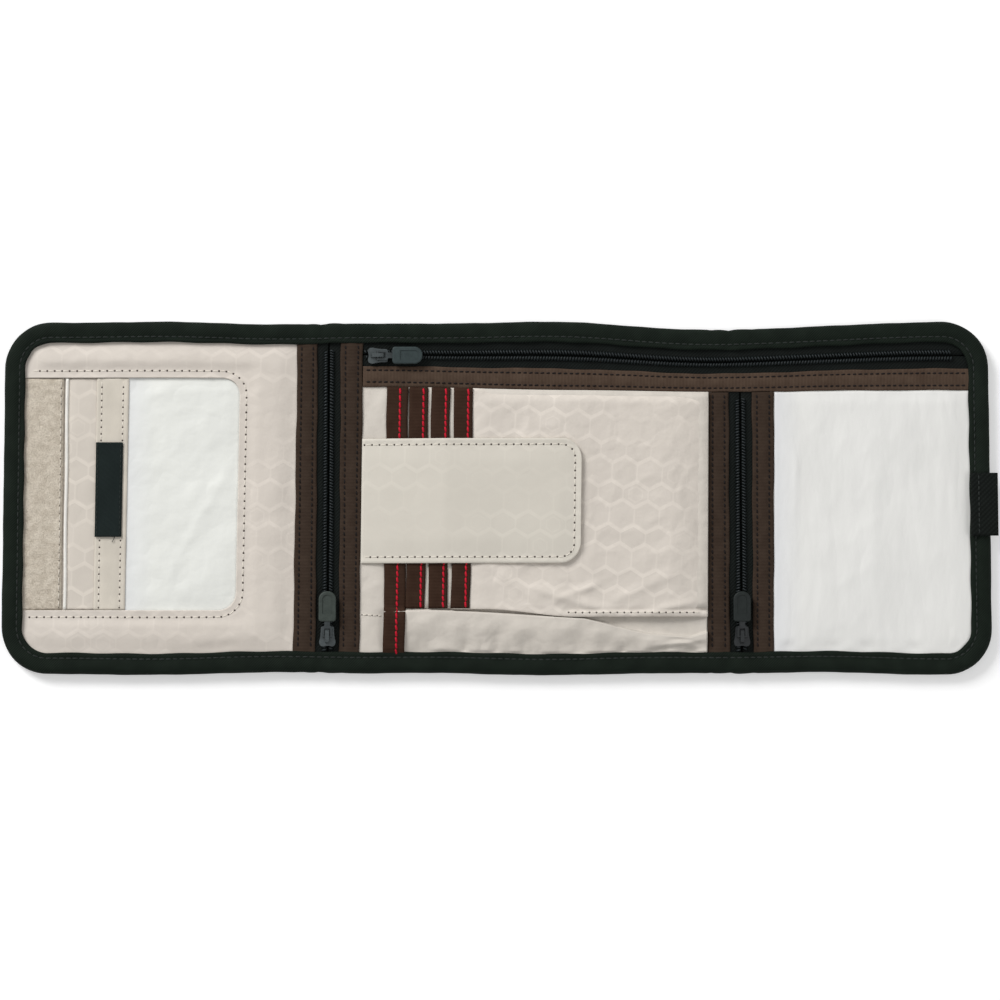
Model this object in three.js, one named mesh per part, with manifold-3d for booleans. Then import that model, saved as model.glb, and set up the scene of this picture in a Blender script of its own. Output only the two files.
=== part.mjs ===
// Neck wallet, a tri-fold travel organiser, opened flat with its inside up. Millimetres, +Z up.
// X runs along the opened length and Y across it. The origin is under the middle, on the table.

import * as THREE from "three";
import { mergeVertices } from "three/addons/utils/BufferGeometryUtils.js";
import Module from "manifold-3d";

const wasm = await Module();
wasm.setup();

// Lengths of the three panels, from edge to fold, and the width across them
const leftPanelLength = 140;
const centrePanelLength = 177.5;
const rightPanelLength = 107.5;
const bodyWidth = 151.5;
const cornerRadius = 20;

// Edge binding, a wide tape folded round all the layers
const bindingWidth = 9;
const bindingCloth = 0.8;
const bindingRound = 2.2;

// Thickness of each cloth, and the air left between two layers
const layerGap = 0.1;
const shellCloth = 0.6;
const liningCloth = 0.4;
const panelCloth = 0.5;
const pocketCloth = 0.3;
const slotRibbon = 0.25;
const bandCloth = 0.5;
const flapCloth = 0.6;

// Zip chain: tape, coil rows, and the slit that the slider's neck runs in
const tapeWidth = 12.5;
const coilWidth = 1.9;
const coilHeight = 1.1;
const coilPitch = 1.27;
const coilGroove = 0.45;
const coilSlant = 0.35;
const slitWidth = 0.9;
const zipOpening = 10;
const topZipOpening = 11.2;
const bandWidth = 9.2;

// Zip slider
const sliderLength = 8.6;
const sliderWidth = 7;
const sliderTail = 5.6;
const sliderRun = 0.15;
const lowerPlate = 0.8;
const upperPlate = 0.9;
const flangeDrop = 1;
const flangeClearance = 0.2;
const neckLength = 2.2;
const neckWidth = 0.5;
const sliderEndGap = 2.6;

// Bridge on the slider and the puller that hangs from it
const bridgeLength = 6;
const bridgeWidth = 1.6;
const bridgeWall = 0.7;
const pinDiameter = 1.1;
const pinClearance = 0.15;
const linkWall = 0.9;
const linkSideGap = 0.4;
const linkBar = 1;
const gripStart = 6.3;
const gripLength = 13;
const gripWidth = 7.4;
const gripThickness = 1.9;
const gripCorner = 0.8;
const gripEndRadius = 3;
const gripSocketDepth = 2.2;
const gripSocketClearance = 0.12;
const gripRim = 1.1;
const gripRecess = 0.3;

// Card slots and the passport pocket behind them, with their mouths towards the left
const mouthOffset = 10.3;
const passportTrimWidth = 9.4;
const slotPitch = 9.65;
const slotTrimWidth = 8.2;
const cardSlotCount = 3;
const cardSlotHeight = 94.2;
const gussetBulge = 1.9;
const gussetEnd = 1.5;

// Flap over the mouths
const flapLength = 94.5;
const flapHeight = 53.8;
const flapDrop = 21.1;
const flapCorner = 8.6;

// Identity pocket in the left panel, with its window, trim and label
const idOpeningLength = 92;
const idOpeningTop = 24.1;
const idOpeningHeight = 100.2;
const idOpeningCorner = 7;
const idTuck = 6;
const loopStripWidth = 16.6;
const loopStripPile = 1.2;
const pipingOffset = 17.2;
const pipingWidth = 1.7;
const idTrimOffset = 30.6;
const idTrimWidth = 13.7;
const filmThickness = 0.2;
const labelLength = 11.6;
const labelHeight = 40.8;
const labelCloth = 0.3;

// Hook strip on the outside and the webbing tab on the right edge
const hookStripPile = 0.8;
const tabHeight = 27;
const tabOverhang = 2.8;
const tabWebbing = 0.7;
const tabTop = 65.4;

// Facets of round forms
const cornerSteps = 8;
const smallSteps = 4;
const gussetSteps = 10;

// Places along X
const bodyLength = leftPanelLength + centrePanelLength + rightPanelLength;
const leftEdge = -bodyLength / 2;
const rightEdge = bodyLength / 2;
const leftFold = leftEdge + leftPanelLength;
const rightFold = rightEdge - rightPanelLength;

// Places along Y
const topEdge = bodyWidth / 2;
const bottomEdge = -bodyWidth / 2;
const bindingInnerTop = topEdge - bindingWidth;
const bindingInnerBottom = bottomEdge + bindingWidth;
const topZipY = bindingInnerTop - topZipOpening / 2;
const topBandUpper = bindingInnerTop - topZipOpening;
const topBandLower = topBandUpper - bandWidth;

// Heights of the layers, from the table up
const shellBottom = bindingCloth + layerGap;
const shellTop = shellBottom + shellCloth;
const liningBottom = shellTop + layerGap;
const liningTop = liningBottom + liningCloth;
const lowerPlateBottom = liningTop + sliderRun;
const lowerPlateTop = lowerPlateBottom + lowerPlate;
const panelBottom = lowerPlateTop + sliderRun;
const panelTop = panelBottom + panelCloth;
const bandBottom = panelTop + layerGap;
const bandTop = bandBottom + bandCloth;
const coilBottom = panelTop + layerGap;
const coilTop = coilBottom + coilHeight;
const upperPlateBottom = coilTop + sliderRun;
const upperPlateTop = upperPlateBottom + upperPlate;
const pinCentre = upperPlateTop + pinClearance + pinDiameter / 2;
const bridgeOpeningTop = pinCentre + pinDiameter / 2 + pinClearance;
const pocketBottom = panelTop + layerGap + slotRibbon + layerGap;
const pocketTop = pocketBottom + pocketCloth;
const tierPitch = pocketCloth + slotRibbon + 2 * layerGap;
const trimTop = pocketTop + layerGap + slotRibbon;
const bindingCeiling = Math.max(bandTop, pocketTop) + layerGap;
const bindingTop = bindingCeiling + bindingCloth;

// The space inside the binding, which every sewn-in layer is trimmed to
const slotInset = bindingCloth + layerGap;
const slotLeft = leftEdge + slotInset;
const slotRight = rightEdge - slotInset;
const slotTopY = topEdge - slotInset;
const slotBottomY = bottomEdge + slotInset;

function material(color, roughness, metalness = 0) {
  return new THREE.MeshStandardMaterial({ color, roughness, metalness });
}

const blackCloth = material(0x1c2220, 0.85);
const brownRibbon = material(0x483830, 0.8);
const beigeLining = material(0xd4ccc2, 0.85);
const loopPile = material(0xc8bcae, 0.95);
const clearFilm = material(0xe5e5e2, 0.35);
const whiteEdge = material(0xe8e6e0, 0.6);
const coilNylon = material(0x1a1f1e, 0.5);
const sliderPaint = material(0x42494a, 0.4, 0.6);
const linkPaint = material(0x50575a, 0.35, 0.7);
const gripRubber = material(0x40474a, 0.55);

// Conversions between drawn geometry and solids that can be cut and joined
function toSolid(geometry) {
  const bare = geometry.clone();
  bare.deleteAttribute("normal");
  bare.deleteAttribute("uv");
  const welded = mergeVertices(bare);
  return new wasm.Manifold(new wasm.Mesh({
    numProp: 3,
    vertProperties: Float32Array.from(welded.attributes.position.array),
    triVerts: Uint32Array.from(welded.index.array),
  }));
}

function toGeometry(solid) {
  const cut = solid.getMesh();
  const geometry = new THREE.BufferGeometry();
  geometry.setAttribute("position", new THREE.BufferAttribute(cut.vertProperties, 3));
  geometry.setIndex(new THREE.BufferAttribute(cut.triVerts, 1));
  geometry.computeVertexNormals();
  return geometry;
}

// Basic forms
function block(x0, x1, y0, y1, z0, z1) {
  const box = new THREE.BoxGeometry(x1 - x0, y1 - y0, z1 - z0);
  return box.translate((x0 + x1) / 2, (y0 + y1) / 2, (z0 + z1) / 2);
}

function plate(shape, z0, z1, steps = cornerSteps) {
  const options = { depth: z1 - z0, bevelEnabled: false, curveSegments: steps };
  return new THREE.ExtrudeGeometry(shape, options).translate(0, 0, z0);
}

function roundedRectangle(x0, x1, y0, y1, leftRadius, rightRadius = leftRadius) {
  const quarter = Math.PI / 2;
  const shape = new THREE.Shape();
  shape.moveTo(x0 + leftRadius, y0);
  shape.lineTo(x1 - rightRadius, y0);
  if (rightRadius > 0) shape.absarc(x1 - rightRadius, y0 + rightRadius, rightRadius, -quarter, 0);
  shape.lineTo(x1, y1 - rightRadius);
  if (rightRadius > 0) shape.absarc(x1 - rightRadius, y1 - rightRadius, rightRadius, 0, quarter);
  shape.lineTo(x0 + leftRadius, y1);
  if (leftRadius > 0) shape.absarc(x0 + leftRadius, y1 - leftRadius, leftRadius, quarter, 2 * quarter);
  shape.lineTo(x0, y0 + leftRadius);
  if (leftRadius > 0) shape.absarc(x0 + leftRadius, y0 + leftRadius, leftRadius, 2 * quarter, 3 * quarter);
  return shape;
}

// A section drawn in Y and Z, carried along X
function alongX(shape, x0, x1, steps = smallSteps) {
  const options = { depth: x1 - x0, bevelEnabled: false, curveSegments: steps };
  const turn = new THREE.Matrix4().makeBasis(
    new THREE.Vector3(0, 1, 0), new THREE.Vector3(0, 0, 1), new THREE.Vector3(1, 0, 0));
  return new THREE.ExtrudeGeometry(shape, options).applyMatrix4(turn).translate(x0, 0, 0);
}

// A section drawn in X and Z, carried along Y
function alongY(shape, y0, y1, steps = smallSteps) {
  const options = { depth: y1 - y0, bevelEnabled: false, curveSegments: steps };
  const turn = new THREE.Matrix4().makeBasis(
    new THREE.Vector3(1, 0, 0), new THREE.Vector3(0, 0, 1), new THREE.Vector3(0, -1, 0));
  return new THREE.ExtrudeGeometry(shape, options).applyMatrix4(turn).translate(0, y1, 0);
}

const wallet = new THREE.Group();
wallet.name = "neck_wallet";
wallet.position.x = -tabOverhang / 2;

function add(name, geometry, finish, parent = wallet) {
  const mesh = new THREE.Mesh(geometry, finish);
  mesh.name = name;
  parent.add(mesh);
  return mesh;
}

// The wallet's outline drawn smaller all round by an inset, as a solid and as a cutter
function insideOutline(z0, z1, inset = slotInset) {
  const shape = roundedRectangle(leftEdge + inset, rightEdge - inset,
    bottomEdge + inset, topEdge - inset, cornerRadius - inset);
  return plate(shape, z0, z1);
}

function trimmed(geometry, z0, z1, inset = slotInset) {
  return toGeometry(toSolid(geometry).intersect(toSolid(insideOutline(z0 - 1, z1 + 1, inset))));
}

function sheet(x0, x1, y0, y1, z0, z1) {
  return trimmed(block(x0, x1, y0, y1, z0, z1), z0, z1);
}

// Outer shell and the lining behind the zipped pockets
add("outer_shell", insideOutline(shellBottom, shellTop), blackCloth);
add("pocket_lining", insideOutline(liningBottom, liningTop), beigeLining);

// Edge binding, a rounded ring with a slot all round that takes the layers
function bindingRing() {
  const b = bindingRound;
  const shape = roundedRectangle(leftEdge + b, rightEdge - b, bottomEdge + b, topEdge - b, cornerRadius - b);
  const outer = new THREE.ExtrudeGeometry(shape, {
    depth: bindingTop - 2 * b,
    bevelThickness: b,
    bevelSize: b,
    bevelSegments: smallSteps,
    curveSegments: cornerSteps,
  }).translate(0, 0, b);
  const inner = toSolid(insideOutline(-1, bindingTop + 1, bindingWidth));
  const slot = toSolid(insideOutline(bindingCloth, bindingCeiling));
  return toGeometry(toSolid(outer).subtract(inner).subtract(slot));
}
add("edge_binding", bindingRing(), blackCloth);

// Webbing tab, folded double on top of the binding
function foldedTab() {
  const start = rightEdge - bindingWidth + layerGap;
  const radius = tabWebbing + layerGap / 2;
  const fold = rightEdge + tabOverhang - radius;
  const base = bindingTop + layerGap;
  const shape = new THREE.Shape();
  shape.moveTo(start, base);
  shape.lineTo(fold, base);
  shape.absarc(fold, base + radius, radius, -Math.PI / 2, Math.PI / 2);
  shape.lineTo(start, base + 2 * radius);
  shape.lineTo(start, base + tabWebbing + layerGap);
  shape.lineTo(fold, base + tabWebbing + layerGap);
  shape.lineTo(fold, base + tabWebbing);
  shape.lineTo(start, base + tabWebbing);
  const upper = topEdge - tabTop;
  return alongY(shape, upper - tabHeight, upper);
}
add("pull_tab", foldedTab(), blackCloth);

// Left panel with the open window of the identity pocket
const idOpeningRight = leftEdge + bindingWidth + idOpeningLength;
const idOpeningUpper = topEdge - idOpeningTop;
const idOpeningLower = idOpeningUpper - idOpeningHeight;
const leftPanelEnd = leftFold - tapeWidth - layerGap;

function leftPanel() {
  const whole = toSolid(block(slotLeft, leftPanelEnd, slotBottomY, slotTopY, panelBottom, panelTop));
  const outline = toSolid(insideOutline(panelBottom - 1, panelTop + 1));
  const opening = roundedRectangle(
    leftEdge - 1, idOpeningRight, idOpeningLower, idOpeningUpper, 0, idOpeningCorner);
  return toGeometry(whole.intersect(outline).subtract(toSolid(plate(opening, panelBottom - 1, panelTop + 1))));
}
add("left_panel", leftPanel(), beigeLining);

// Identity pocket: backing, film, folded trim on the film's mouth, label
const idBackingBottom = liningTop + layerGap;
const idBackingTop = idBackingBottom + pocketCloth;
const filmTop = panelBottom - layerGap;
const filmBottom = filmTop - filmThickness;
const idLegBottom = idBackingTop + layerGap / 2;
const idLegTop = filmBottom - layerGap / 2;
const idPocketEnd = idOpeningRight + idTuck;
const idTrimLeft = leftEdge + bindingWidth + idTrimOffset;
const idTrimRight = idTrimLeft + idTrimWidth;
const idTrimTop = filmTop + layerGap / 2 + slotRibbon;

add("id_backing", sheet(slotLeft, idPocketEnd, idOpeningLower - idTuck, idOpeningUpper + idTuck,
  idBackingBottom, idBackingTop), beigeLining);
add("id_window", block(idTrimLeft + slotRibbon + layerGap, idPocketEnd,
  idOpeningLower - idTuck, idOpeningUpper + idTuck, filmBottom, filmTop), clearFilm);

// A ribbon folded round the edge of a sheet: a section like a C, open towards +X
function foldedRibbon(left, right, lowBottom, lowTop, highBottom, highTop, foldWall) {
  const shape = new THREE.Shape();
  shape.moveTo(left, lowBottom);
  shape.lineTo(right, lowBottom);
  shape.lineTo(right, lowTop);
  shape.lineTo(left + foldWall, lowTop);
  shape.lineTo(left + foldWall, highBottom);
  shape.lineTo(right, highBottom);
  shape.lineTo(right, highTop);
  shape.lineTo(left, highTop);
  return shape;
}

const idTrimSection = foldedRibbon(
  idTrimLeft, idTrimRight, idLegBottom, idLegTop, filmTop + layerGap / 2, idTrimTop, slotRibbon);
add("id_trim", alongY(idTrimSection, idOpeningLower + layerGap, idOpeningUpper - layerGap), beigeLining);

const labelMiddle = (idOpeningUpper + idOpeningLower) / 2;
const labelLeft = idTrimLeft + layerGap;
add("woven_label", block(labelLeft, labelLeft + labelLength, labelMiddle - labelHeight / 2,
  labelMiddle + labelHeight / 2, idTrimTop + layerGap, idTrimTop + layerGap + labelCloth), blackCloth);

// Loop strip along the left edge and the piping beside it
const stripUpper = idOpeningUpper - layerGap;
const stripLower = idOpeningLower + layerGap;
const stripBottom = idBackingTop + layerGap;
const loopRight = leftEdge + bindingWidth + loopStripWidth;
add("loop_strip", block(leftEdge + bindingWidth / 2, loopRight, stripLower, stripUpper,
  stripBottom, stripBottom + loopStripPile), loopPile);

function piping() {
  const left = leftEdge + bindingWidth + pipingOffset;
  const radius = pipingWidth / 2;
  const shape = new THREE.Shape();
  shape.moveTo(left, stripBottom);
  shape.lineTo(left + pipingWidth, stripBottom);
  shape.absarc(left + radius, stripBottom, radius, 0, Math.PI);
  return alongY(shape, stripLower, stripUpper, cornerSteps);
}
add("loop_edge_piping", piping(), whiteEdge);

// Hook strip outside the right panel, where the loop strip lands when the wallet is folded
const foldedLoopLeft = 2 * leftFold - loopRight;
const hookLeft = 2 * rightFold - (foldedLoopLeft + loopStripWidth);
add("hook_strip", block(hookLeft, hookLeft + loopStripWidth, stripLower, stripUpper, 0, hookStripPile),
  blackCloth);

// Zip sliders, pullers, tapes and coils. A slider is drawn with the closed chain on its +X side.
function sliderOutline() {
  const half = sliderLength / 2;
  const wide = sliderWidth / 2;
  const tail = sliderTail / 2;
  const shape = new THREE.Shape();
  shape.moveTo(half, -tail + 1);
  shape.lineTo(half, tail - 1);
  shape.quadraticCurveTo(half, tail, half - 1, tail);
  shape.quadraticCurveTo(0, tail, -half / 2, wide);
  shape.quadraticCurveTo(-half, wide, -half, wide / 2);
  shape.quadraticCurveTo(-half + 0.7, 0, -half, -wide / 2);
  shape.quadraticCurveTo(-half, -wide, -half / 2, -wide);
  shape.quadraticCurveTo(0, -tail, half - 1, -tail);
  shape.quadraticCurveTo(half, -tail, half, -tail + 1);
  return shape;
}

function bridgeSection() {
  const half = bridgeLength / 2;
  const top = bridgeOpeningTop + bridgeWall;
  const inner = half - bridgeWall - 0.5;
  const shape = new THREE.Shape();
  shape.moveTo(-half, upperPlateTop - 0.2);
  shape.lineTo(half, upperPlateTop - 0.2);
  shape.quadraticCurveTo(half, top, half - 1.6, top);
  shape.lineTo(-half + 1.6, top);
  shape.quadraticCurveTo(-half, top, -half, upperPlateTop - 0.2);
  const opening = new THREE.Path();
  opening.moveTo(-inner, upperPlateTop);
  opening.lineTo(-inner + 0.5, bridgeOpeningTop);
  opening.lineTo(inner - 0.5, bridgeOpeningTop);
  opening.lineTo(inner, upperPlateTop);
  shape.holes.push(opening);
  return shape;
}

function sliderBody() {
  const channel = slitWidth / 2 + coilWidth + flangeClearance;
  const half = sliderLength / 2;
  const flangeBottom = upperPlateBottom - flangeDrop;
  const cap = toSolid(plate(sliderOutline(), flangeBottom, upperPlateTop, smallSteps));
  const run = toSolid(block(-half - 1, half + 1, -channel, channel, flangeBottom - 1, upperPlateBottom));
  const under = toSolid(plate(sliderOutline(), lowerPlateBottom, lowerPlateTop, smallSteps));
  const neckStart = -half + 0.5;
  const neck = toSolid(block(neckStart, neckStart + neckLength, -neckWidth / 2, neckWidth / 2,
    lowerPlateTop - 0.2, upperPlateBottom + 0.2));
  const bridge = toSolid(alongY(bridgeSection(), -bridgeWidth / 2, bridgeWidth / 2));
  return toGeometry(cap.subtract(run).add(under).add(neck).add(bridge));
}

// The link hangs on its pin: two sides round the bridge, a bar, and a tongue in the grip
const linkInner = bridgeWidth / 2 + linkSideGap;
const linkOuter = linkInner + linkWall;
const linkReach = Math.hypot(bridgeLength / 2, pinCentre - upperPlateTop) + linkSideGap;
const tongueEnd = gripStart + gripSocketDepth;

function linkBody() {
  const half = linkWall / 2;
  const frame = roundedRectangle(0, linkReach + linkBar, -linkOuter, linkOuter, 0, 1);
  const hole = new THREE.Path();
  hole.moveTo(0.3, -linkInner);
  hole.lineTo(linkReach, -linkInner);
  hole.lineTo(linkReach, linkInner);
  hole.lineTo(0.3, linkInner);
  frame.holes.push(hole);
  const sides = toSolid(plate(frame, -half, half, smallSteps));
  const tongue = toSolid(block(linkReach + 0.2, tongueEnd, -linkInner, linkInner, -half, half));
  const pin = new THREE.CylinderGeometry(pinDiameter / 2, pinDiameter / 2, 2 * linkOuter, 12);
  return toGeometry(sides.add(tongue).add(toSolid(pin)));
}

function gripBody() {
  const end = gripStart + gripLength;
  const round = gripThickness / 4;
  const half = gripWidth / 2 - round;
  const outline = roundedRectangle(gripStart + round, end - round, -half, half, gripCorner, gripEndRadius);
  const bar = new THREE.ExtrudeGeometry(outline, {
    depth: gripThickness - 2 * round,
    bevelThickness: round,
    bevelSize: round,
    bevelSegments: 2,
    curveSegments: smallSteps,
  }).translate(0, 0, round - gripThickness / 2);
  const c = gripSocketClearance;
  const socket = block(gripStart - 1, tongueEnd + c, -linkInner - c, linkInner + c,
    -linkWall / 2 - c, linkWall / 2 + c);
  const recess = roundedRectangle(tongueEnd + gripRim, end - gripRim - round,
    gripRim - half, half - gripRim, gripCorner / 2, gripEndRadius - gripRim);
  const dish = plate(recess, gripThickness / 2 - gripRecess, gripThickness, smallSteps);
  return toGeometry(toSolid(bar).subtract(toSolid(socket)).subtract(toSolid(dish)));
}

function addSlider(zip, x, y, turn) {
  const slider = new THREE.Group();
  slider.position.set(x, y, 0);
  slider.rotation.z = turn;
  wallet.add(slider);
  add(`${zip}_slider`, sliderBody(), sliderPaint, slider);
  const puller = new THREE.Group();
  puller.position.z = pinCentre;
  slider.add(puller);
  add(`${zip}_puller_link`, linkBody(), linkPaint, puller);
  add(`${zip}_puller_grip`, gripBody(), gripRubber, puller);
}

// Upright zips along the two folds
const sliderRest = bindingInnerBottom + sliderEndGap + sliderLength / 2;
const slitHalf = slitWidth / 2;

// One coil row along +X from x = 0, on the +Y or -Y side of the slit: a slanted ridge for each turn
function coilRow(length, side) {
  const turns = Math.floor((length - coilSlant * coilWidth) / coilPitch);
  const shape = new THREE.Shape();
  shape.moveTo(0, coilBottom);
  shape.lineTo(turns * coilPitch, coilBottom);
  for (let turn = turns; turn > 0; turn--) {
    shape.lineTo(turn * coilPitch, coilTop - coilGroove);
    shape.lineTo((turn - 0.5) * coilPitch, coilTop);
  }
  shape.lineTo(0, coilTop - coilGroove);
  const slant = new THREE.Matrix4().makeShear(0, 0, side * coilSlant, 0, 0, 0);
  const row = alongY(shape, Math.min(0, side * coilWidth), Math.max(0, side * coilWidth));
  return row.applyMatrix4(slant).translate(0, side * slitHalf, 0);
}

function addUprightZip(zip, fold, sides, tapeUpper, coilUpper) {
  sides.forEach((side, index) => {
    const sign = index === 0 ? -1 : 1;
    const across = (near, far) => {
      const ends = [fold + sign * near, fold + sign * far];
      return [Math.min(...ends), Math.max(...ends)];
    };
    const [tape0, tape1] = across(slitHalf, tapeWidth);
    add(`${zip}_${side}_tape`, block(tape0, tape1, slotBottomY, tapeUpper, panelBottom, panelTop), blackCloth);
    const coilLower = bindingInnerBottom + layerGap;
    const coil = coilRow(coilUpper - coilLower, -sign).rotateZ(Math.PI / 2).translate(fold, coilLower, 0);
    add(`${zip}_${side}_coil`, coil, coilNylon);
    const [band0, band1] = across(zipOpening / 2, zipOpening / 2 + bandWidth);
    const bandUpper = tapeUpper === slotTopY ? slotTopY : topBandLower - layerGap;
    add(`${zip}_${side}_band`, block(band0, band1, slotBottomY, bandUpper, bandBottom, bandTop), brownRibbon);
  });
  addSlider(zip, fold, sliderRest, Math.PI / 2);
}

const topTapeLower = topZipY - tapeWidth;
addUprightZip("left_zip", leftFold, ["outer", "inner"], slotTopY, bindingInnerTop - layerGap);
addUprightZip("right_zip", rightFold, ["inner", "outer"], topTapeLower - layerGap, topBandLower - layerGap);

// Zip along the top edge, from the left fold's ribbon to the right binding
const innerBandEdge = leftFold + zipOpening / 2 + bandWidth;
const topCoilStart = innerBandEdge + layerGap;

// How far past the corner's centre the binding's inner edge lies at a height y
function cornerChord(y) {
  const radius = cornerRadius - bindingWidth;
  const above = Math.max(0, y - (topEdge - cornerRadius));
  return Math.sqrt(Math.max(0, radius ** 2 - above ** 2));
}

const topTapeStart = leftFold + tapeWidth + layerGap;

add("top_zip_upper_tape", sheet(topTapeStart, slotRight, topZipY + slitHalf,
  Math.min(topZipY + tapeWidth, slotTopY), panelBottom, panelTop), blackCloth);
add("top_zip_lower_tape", sheet(topTapeStart, slotRight, topTapeLower, topZipY - slitHalf,
  panelBottom, panelTop), blackCloth);
const topCoilEnd = rightEdge - cornerRadius + cornerChord(topZipY + slitHalf + coilWidth) - layerGap;
for (const [row, side] of [["upper", 1], ["lower", -1]]) {
  const coil = coilRow(topCoilEnd - topCoilStart, side).translate(topCoilStart, topZipY, 0);
  add(`top_zip_${row}_coil`, coil, coilNylon);
}
add("top_zip_band", sheet(innerBandEdge + layerGap, slotRight, topBandLower, topBandUpper,
  bandBottom, bandTop), brownRibbon);
addSlider("top_zip", topCoilStart + sliderEndGap + sliderLength / 2, topZipY, 0);

// Centre panel: backing, passport pocket with its puckered lower strip, and card slots
const centreLeft = leftFold + tapeWidth + layerGap;
const centreRight = rightFold - tapeWidth - layerGap;
const panelUpper = topTapeLower - layerGap;
add("centre_backing", block(centreLeft, centreRight, slotBottomY, panelUpper, panelBottom, panelTop),
  beigeLining);

const mouthX = innerBandEdge + mouthOffset;
const pocketUpper = topBandLower - layerGap;
const pocketRight = rightFold - zipOpening / 2 - bandWidth - layerGap;
const slotLower = topBandLower - cardSlotHeight;
const gussetUpper = slotLower - layerGap;
const gussetLower = bindingInnerBottom + gussetEnd;

// Section of the passport pocket in Y and Z, made thicker below and above as asked
function gussetSection(upper, lower, below, above) {
  const middle = [];
  for (let i = 0; i <= gussetSteps; i++) {
    const t = i / gussetSteps;
    middle.push([gussetUpper + (gussetLower - gussetUpper) * t, gussetBulge * Math.sin(Math.PI * t) ** 2]);
  }
  const shape = new THREE.Shape();
  shape.moveTo(lower, pocketBottom - below);
  for (const [y, rise] of [...middle].reverse()) shape.lineTo(y, pocketBottom - below + rise);
  shape.lineTo(upper, pocketBottom - below);
  shape.lineTo(upper, pocketTop + above);
  for (const [y, rise] of middle) shape.lineTo(y, pocketTop + above + rise);
  shape.lineTo(lower, pocketTop + above);
  return shape;
}

const pocketEdge = slotRibbon + layerGap;
add("passport_pocket", alongX(gussetSection(pocketUpper, slotBottomY, 0, 0),
  mouthX + pocketEdge, pocketRight), beigeLining);

function passportTrim() {
  const reach = layerGap + slotRibbon;
  const lower = bindingInnerBottom + layerGap;
  const outer = alongX(gussetSection(pocketUpper, lower, reach, reach), mouthX, mouthX + passportTrimWidth);
  const inner = alongX(gussetSection(pocketUpper + 1, lower - 1, layerGap, layerGap),
    mouthX + slotRibbon, mouthX + passportTrimWidth + 1);
  return toGeometry(toSolid(outer).subtract(toSolid(inner)));
}
add("passport_trim", passportTrim(), brownRibbon);

for (let tier = 1; tier <= cardSlotCount; tier++) {
  const rise = tier * tierPitch;
  const mouth = mouthX + tier * slotPitch;
  add(`card_slot_${tier}`, block(mouth + pocketEdge, pocketRight, slotLower, pocketUpper,
    pocketBottom + rise, pocketTop + rise), beigeLining);
  const section = foldedRibbon(mouth, mouth + slotTrimWidth, pocketBottom - pocketEdge + rise,
    pocketBottom - layerGap + rise, pocketTop + layerGap + rise, trimTop + rise, slotRibbon);
  add(`card_trim_${tier}`, alongY(section, slotLower, pocketUpper), brownRibbon);
}

// Flap: it leaves the ribbon at the left fold, climbs over the stepped mouths and lies flat
function centreFlap() {
  const root = innerBandEdge + layerGap;
  const end = innerBandEdge + flapLength;
  const upper = topBandLower - flapDrop;
  const clear = trimTop + 2 * layerGap;
  const climb = cardSlotCount * tierPitch;
  const steps = [
    [root, bandBottom],
    [mouthX - 1, clear],
    [mouthX + cardSlotCount * slotPitch - 1, clear + climb],
    [end, clear + climb],
  ];
  const shape = new THREE.Shape();
  shape.moveTo(...steps[0]);
  for (const [x, z] of steps.slice(1)) shape.lineTo(x, z);
  for (const [x, z] of [...steps].reverse()) shape.lineTo(x, z + flapCloth);
  const outline = roundedRectangle(root - 1, end, upper - flapHeight, upper, 0, flapCorner);
  const cutter = toSolid(plate(outline, 0, clear + climb + flapCloth + 1));
  return toGeometry(toSolid(alongY(shape, upper - flapHeight, upper)).intersect(cutter));
}
add("centre_flap", centreFlap(), beigeLining);

// Right panel: backing and the milky film sewn over it
const rightLeft = rightFold + tapeWidth + layerGap;
const filmLeft = rightFold + zipOpening / 2 + bandWidth + layerGap;
add("right_backing", sheet(rightLeft, slotRight, slotBottomY, panelUpper, panelBottom, panelTop), beigeLining);
add("right_window", sheet(filmLeft, slotRight, slotBottomY, pocketUpper, bandBottom, bandBottom + filmThickness),
  clearFilm);

export default wallet;
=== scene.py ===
# Looks of a tri-fold neck wallet that lies opened flat. Lengths are millimetres; make() turns them to metres.
import math
import random

import bmesh
import bpy
import numpy as np
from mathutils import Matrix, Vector


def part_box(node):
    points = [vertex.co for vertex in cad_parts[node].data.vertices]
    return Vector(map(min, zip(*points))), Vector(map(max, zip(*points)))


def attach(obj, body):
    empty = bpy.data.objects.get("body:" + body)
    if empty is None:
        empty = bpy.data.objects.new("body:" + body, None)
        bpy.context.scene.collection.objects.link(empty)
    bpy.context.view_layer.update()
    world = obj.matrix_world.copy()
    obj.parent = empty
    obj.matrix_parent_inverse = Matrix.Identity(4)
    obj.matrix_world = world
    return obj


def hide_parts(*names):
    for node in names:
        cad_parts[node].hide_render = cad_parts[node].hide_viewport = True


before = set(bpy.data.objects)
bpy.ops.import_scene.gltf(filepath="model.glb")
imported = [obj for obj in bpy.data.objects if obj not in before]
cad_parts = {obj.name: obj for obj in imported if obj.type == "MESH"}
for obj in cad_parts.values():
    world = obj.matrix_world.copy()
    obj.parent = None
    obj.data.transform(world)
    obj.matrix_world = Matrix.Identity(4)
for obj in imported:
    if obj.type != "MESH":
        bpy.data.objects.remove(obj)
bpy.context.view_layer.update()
MM = 0.001
known_boxes = {}


def box_mm(node):
    if node not in known_boxes:
        low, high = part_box(node)
        known_boxes[node] = (np.array(low) / MM, np.array(high) / MM)
    low, high = known_boxes[node]
    return low.copy(), high.copy()


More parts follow.
